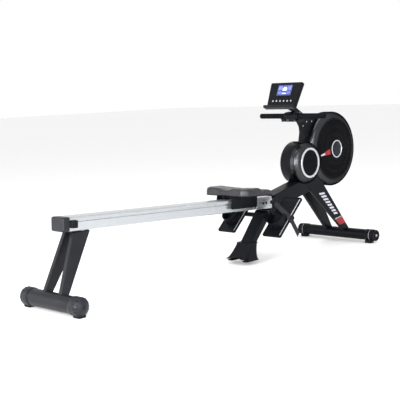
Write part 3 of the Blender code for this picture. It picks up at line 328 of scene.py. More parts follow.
def carve(thing, tool):
    change = thing.modifiers.new("carve", "BOOLEAN")
    change.operation = "DIFFERENCE"
    change.solver = "EXACT"
    change.object = tool
    settle(thing)
    discard(tool)


def soften(thing, width, segments=2, angle=30):
    """Rounds sharp edges and keeps the flat faces flat in the light."""
    bevel = thing.modifiers.new("bevel", "BEVEL")
    bevel.width = width
    bevel.segments = segments
    bevel.limit_method = "ANGLE"
    bevel.angle_limit = radians(angle)
    settle(thing, 45)
    weight = thing.modifiers.new("normals", "WEIGHTED_NORMAL")
    weight.keep_sharp = True
    return thing


def lathe(profile, segments=72, ring=False, sign=NEAR):
    """A mesh turned about the Y axis from (radius, height) points; heights point to the given side."""
    bm = bmesh.new()
    rows = []
    for radius, height in profile:
        if radius < 1e-6:
            rows.append([bm.verts.new((0, sign * height, 0))])
            continue
        row = []
        for i in range(segments):
            angle = 2 * pi * i / segments
            row.append(bm.verts.new((radius * cos(angle), sign * height, radius * sin(angle))))
        rows.append(row)
    pairs = list(zip(rows, rows[1:]))
    if ring:
        pairs.append((rows[-1], rows[0]))
    for one, two in pairs:
        for i in range(segments):
            j = (i + 1) % segments
            corners = [one[i % len(one)], one[j % len(one)], two[j % len(two)], two[i % len(two)]]
            bm.faces.new(list(dict.fromkeys(corners)))
    return bm


def turned(name, profile, at, material, body="frame", segments=72, ring=False, sign=NEAR, stands_for=None,
           matrix=None, slot=None):
    mesh = to_mesh(lathe(profile, segments, ring, sign), name)
    spot = Matrix.Translation(at) if matrix is None else matrix
    return place(name, mesh, material, body, spot, stands_for, slot)


def mirrored(profile):
    return [(radius, -height) for radius, height in reversed(profile)]


def rod(radius, half):
    """The profile of a plain round bar."""
    return [(0, half), (radius, half), (radius, -half), (0, -half)]


def drum_tool(radius, at, length=0.4):
    """A plain round cutter along Y."""
    return turned("tool", rod(radius, length), at, SHADE_BACKING, None, 128)


def block(name, size, matrix, material, body="frame", edge=0.0015, stands_for=None, slot=None):
    bm = bmesh.new()
    bmesh.ops.create_cube(bm, size=1.0)
    bmesh.ops.scale(bm, vec=size, verts=bm.verts)
    thing = place(name, to_mesh(bm, name), material, body, matrix, stands_for, slot)
    return soften(thing, edge, 3) if edge else thing


def cut_block(thing, size, matrix):
    carve(thing, block("tool", size, matrix, PLASTIC, None, 0))


def arc(centre, radius, start, end, count):
    angles = [radians(start + (end - start) * i / count) for i in range(count + 1)]
    return [(centre[0] + radius * cos(a), centre[1] + radius * sin(a)) for a in angles]


def rectangle(x, y, half_x, half_y):
    return [(x - half_x, y - half_y), (x + half_x, y - half_y), (x + half_x, y + half_y),
            (x - half_x, y + half_y)]


def slab(name, outline, thickness, matrix, material, body="frame", holes=(), edge=0.001, stands_for=None,
         slot=None):
    """A flat outline in the matrix's X and Y, with its thickness along Z."""
    curve = bpy.data.curves.new(name, "CURVE")
    curve.dimensions = "2D"
    curve.fill_mode = "BOTH"
    curve.extrude = thickness / 2
    for points in (outline, *holes):
        spline = curve.splines.new("POLY")
        spline.points.add(len(points) - 1)
        for point, (x, y) in zip(spline.points, points):
            point.co = (x, y, 0, 1)
        spline.use_cyclic_u = True
    helper = linked(name + "_curve", curve)
    bm = cleaned(evaluated_mesh(helper), 0.00001)
    discard(helper)
    thing = place(name, to_mesh(bm, name), material, body, matrix, stands_for, slot)
    return soften(thing, edge) if edge else thing


def cleaned(mesh, reach):
    """A bmesh of the mesh, with close points merged and flat faces joined."""
    bm = bmesh.new()
    bm.from_mesh(mesh)
    bmesh.ops.remove_doubles(bm, verts=bm.verts, dist=reach)
    bmesh.ops.dissolve_limit(bm, angle_limit=radians(0.5), verts=bm.verts, edges=bm.edges)
    return bm


def refined(node, material, edge=0.001, segments=2):
    """A CAD node with its flat faces cleaned and its edges rounded."""
    source = frame["nodes"][node]
    bm = cleaned(source.data, 0.00002)
    thing = place(node + "_skin", to_mesh(bm, node), material, source["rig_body"], None, node)
    return soften(thing, edge, segments)


def loft(bm, rows, capped=True):
    """Faces between closed rows of vertices, and over both ends."""
    count = len(rows[0])
    for one, two in zip(rows, rows[1:]):
        for i in range(count):
            j = (i + 1) % count
            bm.faces.new((one[i], one[j], two[j], two[i]))
    if capped:
        bm.faces.new(rows[0])
        bm.faces.new(reversed(rows[-1]))


def join_bm(bm, other):
    """Adds one bmesh's faces to another."""
    mesh = bpy.data.meshes.new("part")
    other.to_mesh(mesh)
    other.free()
    bm.from_mesh(mesh)
    bpy.data.meshes.remove(mesh)


def ribbon(path, width_axis, width, thickness):
    """A flat strap with rounded selvedges along a path, as one closed loft."""
    bm = bmesh.new()
    side = Vector(width_axis).normalized()
    half, thick = width / 2, thickness / 2
    section = [(half, 0), (half - thick, thick), (0, thick * 0.8), (-half + thick, thick), (-half, 0),
               (-half + thick, -thick), (0, -thick * 0.8), (half - thick, -thick)]
    rows = []
    for index, point in enumerate(path):
        before, after = path[max(index - 1, 0)], path[min(index + 1, len(path) - 1)]
        along = (Vector(after) - Vector(before)).normalized()
        up = along.cross(side).normalized()
        rows.append([bm.verts.new(Vector(point) + side * a + up * b) for a, b in section])
    loft(bm, rows)
    return bm


def smooth_path(points, steps=6):
    """A Catmull-Rom curve through the points."""
    points = [Vector(p) for p in points]
    ends = [points[0]] + points + [points[-1]]
    path = []
    for a, b, c, d in zip(ends, ends[1:], ends[2:], ends[3:]):
        for i in range(steps):
            t = i / steps
            path.append(0.5 * ((2 * b) + (c - a) * t + (2 * a - 5 * b + 4 * c - d) * t * t
                               + (3 * b - a - 3 * c + d) * t ** 3))
    return path + [points[-1]]


def screw_head(name, at, radius, body, outward, material=PLASTIC):
    """A domed screw head with a hexagon socket, on a face that looks outward."""
    height = radius * 0.55
    profile = [(0, height * 0.35), (radius * 0.42, height * 0.35), (radius * 0.44, height),
               (radius * 0.72, height * 0.92), (radius, height * 0.3), (radius, 0), (0, 0)]
    turn = Vector((0, -1, 0)).rotation_difference(Vector(outward)).to_matrix().to_4x4()
    turned(name, profile, at, material, body, 24, matrix=Matrix.Translation(at) @ turn, slot="steel")


def screw_pairs(name, spots, reach, radius, body="frame", material=PLASTIC):
    """Screws at each spot on the near and on the far face, a reach from the middle plane."""
    for index, spot in enumerate(spots):
        for side, sign in SIDES.items():
            screw_head(f"{name}_{side}_{index + 1}", spot + Vector((0, sign * reach, 0)), radius, body,
                       (0, sign, 0), material)


# ---------------------------------------------------------------- the two feet and their wheels
def foot_tube(node, radius, half, body, at, material):
    profile = [(radius, half), (radius, -half), (radius - 0.0025, -half), (radius - 0.0025, half)]
    turned(node + "_skin", profile, at, material, body, ring=True, stands_for=node)


def front_foot():
    foot_tube("front_foot_tube", FOOT_TUBE_R, 0.24, "frame", FRONT_FOOT, PAINT)
    start, end = 0.214, 0.266
    for side, sign in SIDES.items():
        radius, length = FOOT_TUBE_R + 0.003, end - start
        shell = [(0, length), (radius - 0.004, length), (radius - 0.001, length - 0.0015),
                 (radius, length - 0.004), (radius, length * 0.62), (radius - 0.001, length * 0.61),
                 (radius - 0.001, length * 0.58), (radius, length * 0.57), (radius, 0.003),
                 (radius - 0.0012, 0.0005), (FOOT_TUBE_R + GAP, 0.0), (FOOT_TUBE_R + GAP, 0.026), (0, 0.026)]
        at = FRONT_FOOT + Vector((0, sign * start, 0))
        turned(f"front_cap_{side}_shell", shell, at, PLASTIC, sign=sign, stands_for=f"front_cap_{side}")
        pad_top = FRONT_FOOT.z - radius * 0.8
        spot = shift(FRONT_FOOT.x - 0.013, sign * (start + length * 0.48), pad_top / 2)
        block(f"front_pad_{side}", (0.036, length * 0.8, pad_top), spot, RUBBER, "frame", 0.0025,
              slot="black_plastic")
        seam = [(radius + 0.0002, 0.0015), (radius + 0.0006, 0.0007), (radius + 0.0002, 0.0)]
        turned(f"front_cap_{side}_line", seam, at + Vector((0, sign * length * 0.6, 0)), LIGHT, ring=True,
               sign=sign)
        transport_wheel(side, sign, end)


def transport_wheel(side, sign, start):
    radius, width, hole = 0.0335, 0.0165, 0.0051
    profile = [(hole, width * 0.8), (0.011, width * 0.8), (0.012, width), (0.016, width),
               (0.018, width * 0.72), (0.0245, width * 0.72), (0.026, width), (radius - 0.003, width),
               (radius, width - 0.004)]
    grooves = 3
    for i in range(grooves):
        at = width - 0.005 - i * 0.0032
        profile += [(radius, at), (radius - 0.0008, at - 0.0004), (radius - 0.0008, at - 0.001),
                    (radius, at - 0.0014)]
    profile += [(radius - 0.002, 0.0), (hole, 0.0)]
    at = Vector((FRONT_FOOT.x, sign * (start + GAP), FRONT_FOOT.z))
    turned(f"wheel_{side}_tyre", profile, at, RUBBER, f"wheel_{side}", 64, ring=True, sign=sign,
           stands_for=f"transport_wheel_{side}")
    screw_head(f"wheel_{side}_bolt", Vector((at.x, sign * 0.2806, at.z)), 0.0085, "frame", (0, sign, 0),
               STEEL)


def rear_foot():
    # The rear foot tube takes the lighter copy of the powder coat: painted light.
    foot_tube("rear_foot_tube", REAR_TUBE_R, 0.172, "rail", REAR_FOOT, LEG_PAINT_WITH_PAINTED_LIGHT)
    start, end, radius = 0.146, 0.214, REAR_TUBE_R + 0.0035
    length = end - start
    for side, sign in SIDES.items():
        rise = radius * 0.62
        dome_start = length - rise
        dome = [(radius * cos(a), dome_start + rise * sin(a))
                for a in (radians(90 - 7.5 * i) for i in range(13))]
        dome[0] = (0, length)
        collar = [(radius, 0.02), (radius - 0.0016, 0.0185), (radius - 0.0016, 0.0165), (radius, 0.015),
                  (radius, 0.002), (radius - 0.0012, 0.0), (REAR_TUBE_R + GAP, 0.0),
                  (REAR_TUBE_R + GAP, 0.028), (0, 0.028)]
        at = REAR_FOOT + Vector((0, sign * start, 0))
        turned(f"rear_cap_{side}_dome", dome + collar, at, END_PLASTIC, "rail", 96, sign=sign,
               stands_for=f"rear_cap_{side}")
        ribs(side, sign, at, radius, dome_start, rise)
        height = REAR_FOOT.z - radius * 0.8
        spot = shift(REAR_FOOT.x, sign * (start + length * 0.46), height / 2)
        block(f"rear_pad_{side}", (0.04, length * 0.62, height), spot, RUBBER, "rail", 0.0025,
              slot="black_plastic")
        boss = [(0, 0.0035), (0.0035, 0.0035), (0.004, 0.006), (0.008, 0.0055), (0.0095, 0.003),
                (0.0095, -0.004), (0, -0.004)]
        turned(f"rear_cap_{side}_boss", boss, at + Vector((0, sign * (length - 0.006), 0)), PLASTIC, "rail",
               32, sign=sign)


def ribs(side, sign, at, radius, dome_start, rise):
    """Raised ribs that run from the collar over the dome's shoulder."""
    bm = bmesh.new()
    count = 14
    for index in range(count):
        turn = 2 * pi * index / count
        path = []
        for step in range(9):
            lean = radians(40 * step / 8)
            reach = (radius + 0.0002) * cos(lean)
            height = dome_start + (rise + 0.0002) * sin(lean)
            path.append(Vector((reach * cos(turn), sign * height, reach * sin(turn))))
        across = Vector((-sin(turn), 0, cos(turn)))
        join_bm(bm, ribbon(path, across, 0.0032, 0.0016))
    place(f"rear_cap_{side}_ribs", to_mesh(bm, "ribs"), PLASTIC, "rail", Matrix.Translation(at))


# ---------------------------------------------------------------- frame
LEG_LOW, LEG_HIGH = Vector((FRONT_FOOT.x + 0.008, -0.065, 0.05)), Vector((0.7638, -0.03, 0.384))
LEG_SIZES, LEG_THICK = (0.06, 0.165), 0.0215


def leg_point(up, across, proud):
    """A point on the near front leg's outer face: up and across are shares of its size."""
    centre = LEG_LOW.lerp(LEG_HIGH, up)
    size = LEG_SIZES[0] + (LEG_SIZES[1] - LEG_SIZES[0]) * up
    return Vector((centre.x + across * size, centre.y - LEG_THICK / 2 - proud, centre.z))


def leg_decal(name, corners, material):
    """A thin painted patch on the near leg, from (up, across) corners."""
    bm = bmesh.new()
    loft(bm, [[bm.verts.new(leg_point(up, across, proud)) for up, across in corners]
              for proud in (0.00005, 0.00045)])
    place(name, to_mesh(bm, name), material)


def front_legs():
    for side in SIDES:
        refined(f"front_leg_{side}", PAINT, 0.0015)
    strokes = 8
    for i in range(strokes):
        low = 0.375 + i * 0.056
        start, end, slant = -0.17, 0.21, 0.012
        leg_decal(f"leg_stroke_{i + 1}", [(low, start), (low + 0.034, start + slant), (low + 0.034, end),
                                          (low, end - slant)], LIGHT)
    leg_decal("leg_red_patch", [(0.165, -0.45), (0.185, 0.45), (0.305, 0.45), (0.27, -0.45)], RED)
    leg_decal("leg_light_line", [(0.28, -0.45), (0.315, 0.45), (0.326, 0.45), (0.291, -0.45)], LIGHT)


def beam_and_brackets():
    for node in ("main_beam", "mid_leg"):
        refined(node, PAINT, 0.0012)
    refined("pivot_bracket", PAINT, 0.0007)
    refined("pedal_tube", PAINT, 0.0006)
    refined("handle_rest", GREY, 0.0006)
    # The rear legs take the lighter copy of the powder coat: painted light.
    for side in SIDES:
        refined(f"rear_leg_{side}", LEG_PAINT_WITH_PAINTED_LIGHT, 0.0012)
    washer = [(0.0, 0.0066), (0.0045, 0.0066), (0.005, 0.0072), (0.0085, 0.0072), (0.0105, 0.005),
              (0.0108, 0.0018), (0.0125, 0.0016), (0.0125, 0.0), (0, 0)]
    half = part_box("pivot_bolt")[1].y - 0.0073
    for side, sign in SIDES.items():
        turned(f"pivot_bolt_head_{side}", washer, PIVOT + Vector((0, sign * half, 0)), PLASTIC, "frame", 40,
               sign=sign)
    turned("pivot_bolt_shaft", rod(0.006, half), PIVOT, STEEL, "frame", 32, stands_for="pivot_bolt")
    offsets = ((0.03, 0, -0.06), (0.062, 0, -0.055), (0.094, 0, -0.016))
    screw_pairs("bracket_screw", [PIVOT + Vector(offset) for offset in offsets], 0.0466, 0.0062)
    knob_at = Vector(middle("lock_knob"))
    knob_at.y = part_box("lock_knob")[1].y
    knob = [(0.0, 0.03), (0.007, 0.03), (0.0095, 0.0292), (0.012, 0.0265), (0.0125, 0.024), (0.012, 0.0235),
            (0.012, 0.0225), (0.0125, 0.022), (0.0125, 0.019), (0.0105, 0.0155), (0.007, 0.012), (0.007, 0.0),
            (0, 0)]
    turned("lock_knob_grip", knob, knob_at, PLASTIC, "lock", 40, stands_for="lock_knob")


def middle_foot():
    """A moulded shoe that grips the middle leg and flares into two toes with an arch between them."""
    low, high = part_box("mid_foot")
    top = Vector((high.x - 0.037, 0, high.z))
    base = Vector((low.x + 0.051, 0, low.z + 0.003))
    rows, bm = [], bmesh.new()
    steps = 16
    for step in range(steps + 1):
        share = step / steps
        flare = 0.0045 * max(0.0, (share - 0.8) / 0.2) ** 2
        waist = 0.004 * sin(pi * share)
        half_x = 0.037 + 0.0135 * share + flare - waist * 0.6
        half_y = 0.047 + 0.03 * share + flare - waist
        centre = top.lerp(base, share)
        row = []
        for x, y in dense(rounded_rectangle(half_x, half_y, 0.013, 6), 0.005):
            arch = 0.013 * exp(-(y / 0.026) ** 2) * max(0.0, (share - 0.7) / 0.3)
            lift = 0.009 * max(0.0, (-x - 0.024) / 0.03) * max(0.0, (share - 0.8) / 0.2)
            row.append(Vector((centre.x + x, y, centre.z + arch + lift)))
        rows.append(row)
    count = len(rows[0])
    rows = [[resampled(row, i / count) for i in range(count)] for row in rows]
    loft(bm, [[bm.verts.new(point) for point in row] for row in rows])
    shoe = place("mid_foot_shoe", to_mesh(bm, "shoe", 50), PLASTIC, "frame", None, "mid_foot")
    soften(shoe, 0.0025, 3, 50)
    for side, sign in SIDES.items():
        spot = shift(base.x, sign * 0.052, low.z + 0.0022)
        slab(f"mid_sole_{side}", rounded_rectangle(0.044, 0.019, 0.01, 6), 0.004, spot, RUBBER, edge=0.0014)
        screw_at = Vector((top.x + (base.x - top.x) * 0.77 + 0.026, sign * 0.0672, low.z + 0.024))
        screw_head(f"mid_foot_screw_{side}", screw_at, 0.0055, "frame", (0, sign, 0.3))
        collar = shift(top.x, sign * 0.0455, top.z - 0.002)
        block(f"mid_foot_lip_{side}", (0.07, 0.004, 0.006), collar, PLASTIC, "frame", 0.0012)


def resampled(loop, share):
    """The point a share of the way round a closed loop, by length."""
    lengths = [(b - a).length for a, b in zip(loop, loop[1:] + loop[:1])]
    left = share * sum(lengths)
    for start, end, length in zip(loop, loop[1:] + loop[:1], lengths):
        if left <= length:
            return start.lerp(end, left / length)
        left -= length
    return loop[0].copy()


# ---------------------------------------------------------------- pedals
def pedal_matrix(sign):
    """Local X runs up a footplate, local Y across it and local Z out towards the rower."""
    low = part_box("footplate_near")[0]
    corner = Vector((low.x, sign * PLATE_Y, low.z + PLATE_THICK * cos(PLATE_ANGLE)))
    return Matrix.Translation(corner) @ Matrix.Rotation(-PLATE_ANGLE, 4, "Y")


def pedals():
    for side, sign in SIDES.items():
        spot = pedal_matrix(sign)
        footplate(side, spot)
        heel_cup(side, spot)
        foot_strap(side, sign, spot)


def plate_outline(inset):
    half, long = PLATE_HALF_WIDTH - inset, PLATE_LENGTH - inset
    heel, toe = max(0.007 - inset, 0.002), max(0.01 - inset, 0.003)
    return (arc((inset + heel, -half + heel), heel, 180, 270, 6)
            + arc((long - toe, -half + toe), toe, 270, 360, 8)
            + arc((long - toe, half - toe), toe, 0, 90, 8)
            + arc((inset + heel, half - heel), heel, 90, 180, 6))


def footplate(side, spot):
    """A moulded plate with a slot for the heel cup, a raised rim, a silver strip along its near edge that
    paints the rim's highlight, and treads.
    """
    slot = arc((0.126, 0), 0.005, -90, 90, 8) + arc((0.056, 0), 0.005, 90, 270, 8)
    slab(f"footplate_{side}_base", plate_outline(0.0), PLATE_THICK - 0.003,
         spot @ shift(0, 0, -PLATE_THICK / 2 - 0.0015), PLASTIC, holes=[slot], edge=0.0016,
         stands_for=f"footplate_{side}")
    slab(f"footplate_{side}_rim", plate_outline(0.001), 0.0028, spot @ shift(0, 0, -0.0016), PLASTIC,
         holes=[plate_outline(0.0055)], edge=0.0008)
    # A silver strip on the rim's near edge: a painted highlight of the raised rim.
    at = spot @ shift(PLATE_LENGTH / 2, 0.0085 - PLATE_HALF_WIDTH, -0.0016)
    block(f"footplate_{side}_strip", (PLATE_LENGTH - 0.022, 0.0046, 0.0028), at, SILVER, "frame", 0.0008)
    for index in range(7):
        along = 0.17 + index * 0.0125
        half = PLATE_HALF_WIDTH - 0.014
        outline = arc((0, -half + 0.0018), 0.0018, 180, 360, 6) + arc((0, half - 0.0018), 0.0018, 0, 180, 6)
        slab(f"footplate_{side}_tread_{index + 1}", outline, 0.0022, spot @ shift(along, 0, -0.0019), RUBBER,
             edge=0.0006, slot="black_plastic")


def u_shape(outer, inner, leg):
    """Half a ring of wall with two straight legs, open towards +X."""
    return (arc((0, 0), outer, 90, 270, 28) + [(leg, -outer), (leg, -inner)]
            + arc((0, 0), inner, 270, 90, 28) + [(leg, inner), (leg, outer)])


def heel_cup(side, spot):
    """A U of wall with a rolled lip and ribs, and a grooved floor."""
    body = f"heel_{side}"
    cup = spot @ shift(CUP_AT, 0, 0)
    outer, inner, leg, height = 0.05, 0.0455, 0.034, 0.046
    slab(f"heel_{side}_wall", u_shape(outer, inner, leg), height - 0.001, cup @ shift(0, 0, GAP + height / 2),
         PLASTIC, body, edge=0.001, stands_for=f"heel_cup_{side}")
    reach, end = inner + 0.001, leg - 0.001
    floor = arc((0, 0), reach, 90, 270, 28) + [(end, -reach), (end, reach)]
    slab(f"heel_{side}_floor", floor, 0.004, cup @ shift(0, 0, GAP + 0.0022), PLASTIC, body, edge=0.0006)
    slab(f"heel_{side}_lip", u_shape(outer, outer - 0.006, leg), 0.004,
         cup @ shift(0, 0, GAP + height - 0.0021), PLASTIC, body, edge=0.0014)
    for index in range(4):
        spot_rib = cup @ shift(-0.024 + index * 0.014, 0, GAP + 0.0046)
        block(f"heel_{side}_rib_{index + 1}", (0.003, 0.062, 0.0016), spot_rib, RUBBER, body, 0.0005,
              slot="black_plastic")
    block(f"heel_{side}_key", (0.016, 0.0086, 0.0115), cup @ shift(0.01, 0, -0.004), PLASTIC, body, 0.0006)


def strap_path(sign):
    """Over the foot from the plate's inner edge, through the buckle, and out as a hanging tail."""
    edge = PLATE_HALF_WIDTH + 0.0018
    over = [(0.191, -edge, -0.011), (0.19, -edge, 0.012), (0.187, -edge * 0.92, 0.036),
            (0.181, -edge * 0.7, 0.049), (0.172, -edge * 0.38, 0.046), (0.16, 0.0, 0.035),
            (0.147, edge * 0.45, 0.022), (0.134, edge * 0.82, 0.011), (0.127, edge * 1.02, 0.001),
            (0.121, edge + 0.006, -0.014), (0.111, edge + 0.013, -0.04), (0.101, edge + 0.02, -0.068),
            (0.093, edge + 0.025, -0.092)]
    return smooth_path([(x, sign * y, z) for x, y, z in over], 5)


def foot_strap(side, sign, spot):
    bm = ribbon(strap_path(sign), (1, 0, 0), 0.03, 0.0024)
    place(f"foot_strap_{side}_webbing", to_mesh(bm, "webbing", 60), WEBBING, "frame", spot,
          f"foot_strap_{side}")
    edge = PLATE_HALF_WIDTH + 0.0018
    buckle = spot @ shift(0.1255, sign * (edge + 0.0035), -0.004) @ UPRIGHT
    slab(f"foot_buckle_{side}", rectangle(0, 0, 0.019, 0.01), 0.0036, buckle, PLASTIC,
         holes=[rectangle(0, 0, 0.0158, 0.006)], edge=0.001)


# ---------------------------------------------------------------- drum
def drum():
    depth = DRUM_SEAM - DRUM_NEAR
    shoulder = [(RING_R + 0.0015, depth)]
    shoulder += [(RING_R + 0.0015 + (DRUM_R - RING_R - 0.0015) * sin(radians(a)),
                  depth - 0.034 * (1 - cos(radians(a)))) for a in range(9, 91, 9)]
    inner = [(DRUM_R - 0.003, GAP), (DRUM_R - 0.003, depth - 0.034), (0.112, depth - 0.016),
             (RING_R - 0.006, depth - 0.0065), (RING_R - 0.006, depth - 0.0035),
             (RING_R + 0.0015, depth - 0.0035)]
    near = shoulder + [(DRUM_R, 0.0022), (DRUM_R - 0.0012, 0.001), (DRUM_R - 0.0012, GAP)] + inner
    cover = turned("drum_near_shell", near, Vector((DRUM.x, DRUM_SEAM, DRUM.z)), GLOSS, "frame", 128,
                   ring=True, stands_for="drum_cover_near")
    far_depth = DRUM_FAR - DRUM_SEAM
    far = [(DRUM_R - 0.0012, far_depth), (DRUM_R - 0.0012, far_depth - 0.0008), (DRUM_R, far_depth - 0.002),
           (DRUM_R, 0.016), (0.12, 0.0095), (0.115, 0.0045), (0.106, 0.0008), (0.1, 0.0), (0.09, 0.0),
           (0.088, 0.0015), (0.06, 0.0015), (0.058, 0.0), (0.0065, 0.0), (0.0065, 0.003), (0.104, 0.003),
           (0.113, 0.007), (DRUM_R - 0.003, 0.017), (DRUM_R - 0.003, far_depth)]
    back = turned("drum_far_shell", far, Vector((DRUM.x, DRUM_FAR, DRUM.z)), PLASTIC, "frame", 128, ring=True,
                  stands_for="drum_cover_far")
    gate_x, gate_y, top = DRUM.x - 0.02, -0.014, DRUM.z + DRUM_R
    for shell in (cover, back):
        cut_block(shell, (0.03, 0.06, 0.06), shift(gate_x, gate_y, top))
        cut_block(shell, (0.08, 0.024, 0.15), shift(DRUM.x + DRUM_R, 0.024, DRUM.z + 0.022))
    lip = block("strap_gate_lip", (0.034, 0.064, 0.006), shift(gate_x, gate_y, top - 0.002), PLASTIC)
    cut_block(lip, (0.026, 0.056, 0.02), shift(gate_x, gate_y, top))
    drum_ring()
    screws = ((-0.078, 0.073), (-0.1, -0.045), (0.02, -0.107), (0.045, 0.098))
    for index, (dx, dz) in enumerate(screws):
        outward = Vector((dx, -0.085, dz)).normalized()
        lift = DRUM + Vector((dx, DRUM_NEAR + 0.01, dz))
        screw_head(f"drum_screw_{index + 1}", lift, 0.004, "frame", outward)


def drum_ring():
    face = Vector((DRUM.x, DRUM_NEAR, DRUM.z))
    rim = RING_R
    ring = [(rim - 0.0125, 0.0), (rim - 0.012, 0.0028), (rim - 0.01, 0.0042), (rim - 0.004, 0.0042),
            (rim - 0.001, 0.0034), (rim, 0.0018), (rim, -0.0027), (rim - 0.0125, -0.0027)]
    turned("drum_ring_band", ring, face, SILVER, "frame", 128, ring=True, stands_for="drum_ring")
    # A near-black sheet behind the honeycomb: painted shade seen through its holes.
    backing = [(0, -0.002), (rim - 0.0128, -0.002), (rim - 0.0128, -0.0026), (0, -0.0026)]
    turned("drum_mesh_shade_backing", backing, face, SHADE_BACKING, "frame", 64)
    lattice = honeycomb(rim - 0.0124, 0.0072)
    place("drum_mesh", lattice, MESH_BLACK, "frame", Matrix.Translation(face + Vector((0, -0.0002, 0))))


def honeycomb(radius, pitch):
    """A round sheet of hexagonal holes, standing in X and Z."""
    bm = bmesh.new()
    row_share = 0.866
    rows = int(radius / (pitch * row_share)) + 1
    size = pitch / sqrt(3)
    for row in range(-rows, rows + 1):
        for column in range(-rows - 1, rows + 2):
            x = (column + 0.5 * (row % 2)) * pitch
            z = row * pitch * row_share
            if hypot(x, z) + size > radius:
                continue
            corners = [bm.verts.new((x + size * sin(radians(60 * k)), 0, z + size * cos(radians(60 * k))))
                       for k in range(6)]
            bm.faces.new(corners)
    bmesh.ops.remove_doubles(bm, verts=bm.verts, dist=0.0002)
    return wired(to_mesh(bm, "honeycomb"), 0.0014)


def wired(mesh, thickness):
    """The edges of a mesh as thin square wire."""
    helper = linked("helper", mesh)
    wire = helper.modifiers.new("wire", "WIREFRAME")
    wire.thickness = thickness
    wire.use_even_offset = False
    result = evaluated_mesh(helper)
    discard(helper)
    return result


# ---------------------------------------------------------------- fan
def fan():
    depth, wall = FAN_HALF_DEPTH, 0.004
    lip = GRILLE_R + 0.0015
    rise = FAN_R - lip
    shoulder = [(lip, depth - 0.0025), (lip + 0.001, depth - 0.0006), (lip + 0.003, depth)]
    shoulder += [(lip + 0.003 + (rise - 0.003) * sin(radians(a)), depth - 0.028 * (1 - cos(radians(a))))
                 for a in range(10, 91, 10)]
    back = mirrored(shoulder)
    inner = [(lip, -depth + wall), (FAN_R - 0.023, -depth + wall + 0.002), (FAN_R - wall, -depth + 0.029),
             (FAN_R - wall, depth - 0.029), (FAN_R - 0.023, depth - wall - 0.002), (lip, depth - wall)]
    housing = turned("fan_casing", shoulder + [(FAN_R, 0.0012), (FAN_R - 0.001, 0.0006),
                                               (FAN_R - 0.001, -0.0006), (FAN_R, -0.0012)] + back + inner,
                     FAN, GLOSS, "frame", 160, ring=True, stands_for="fan_housing")
    carve(housing, drum_tool(BAY_R, DRUM))
    for side, sign in SIDES.items():
        grille(side, sign)
    hub_cap()
    accent()


def dome_height(radius):
    """How far the grille's face stands out at a radius, from the middle of the fan."""
    share = min(radius / GRILLE_R, 1.0)
    return FAN_HALF_DEPTH - 0.001 + GRILLE_DOME * (1 - share ** 2.4)


def grille(side, sign):
    """A domed sheet of fine holes between rings, over a near-black sheet that paints the shade seen through
    the holes.
    """
    bm = bmesh.new()
    spokes, rings, start = 120, 26, 0.05
    rows = []
    for ring in range(rings + 1):
        radius = start + (GRILLE_R - 0.003 - start) * ring / rings
        twist = 0.5 * (ring % 2)
        rows.append([bm.verts.new((radius * cos(2 * pi * (i + twist) / spokes),
                                   sign * (dome_height(radius) - 0.0008),
                                   radius * sin(2 * pi * (i + twist) / spokes))) for i in range(spokes)])
    for ring, (one, two) in enumerate(zip(rows, rows[1:])):
        for i in range(spokes):
            j = (i + 1) % spokes
            if ring % 2 == 0:
                bm.faces.new((one[i], one[j], two[i]))
                bm.faces.new((one[j], two[j], two[i]))
            else:
                bm.faces.new((one[i], two[j], two[i]))
                bm.faces.new((one[i], one[j], two[j]))
    keep_clear_of_drum(bm)
    mesh = wired(to_mesh(bm, "grille"), 0.0013)
    place(f"fan_mesh_{side}", mesh, MESH_BLACK, "frame", Matrix.Translation(FAN))
    steps = [GRILLE_R * i / 14 for i in range(14, 0, -1)]
    front = [(radius, dome_height(radius) - 0.0022) for radius in steps]
    back = [(radius, height - 0.0008) for radius, height in reversed(front)]
    # The backing sheet is painted shade: the dark seen through the grille's holes.
    sheet = turned(f"fan_shade_backing_{side}", [(0, front[-1][1] + 0.0001)] + front[::-1] + back[::-1]
                   + [(0, front[-1][1] - 0.0008)], FAN, SHADE_BACKING, "frame", 96, sign=sign,
                   stands_for=f"fan_grille_{side}")
    carve(sheet, drum_tool(BAY_R, DRUM))
    rim = [(GRILLE_R, dome_height(GRILLE_R) - 0.003), (GRILLE_R, dome_height(GRILLE_R) + 0.0004),
           (GRILLE_R - 0.0015, dome_height(GRILLE_R) + 0.0012),
           (GRILLE_R - 0.0045, dome_height(GRILLE_R - 0.0045) + 0.0006),
           (GRILLE_R - 0.005, dome_height(GRILLE_R - 0.005) - 0.0026)]
    band = turned(f"fan_grille_rim_{side}", rim, FAN, PLASTIC, "frame", 128, ring=True, sign=sign)
    carve(band, drum_tool(BAY_R, DRUM))
    for index, radius in enumerate((0.09, 0.135)):
        height = dome_height(radius) - 0.0006
        bead = [(radius - 0.0012, height - 0.0012), (radius - 0.0012, height), (radius, height + 0.0008),
                (radius + 0.0012, height), (radius + 0.0012, height - 0.0012)]
        turned(f"fan_ring_{side}_{index + 1}", bead, FAN, MESH_BLACK, "frame", 128, ring=True, sign=sign)


def keep_clear_of_drum(bm):
    offset = DRUM - FAN
    far = [v for v in bm.verts if hypot(v.co.x - offset.x, v.co.z - offset.z) < BAY_R + 0.002]
    bmesh.ops.delete(bm, geom=far, context="VERTS")


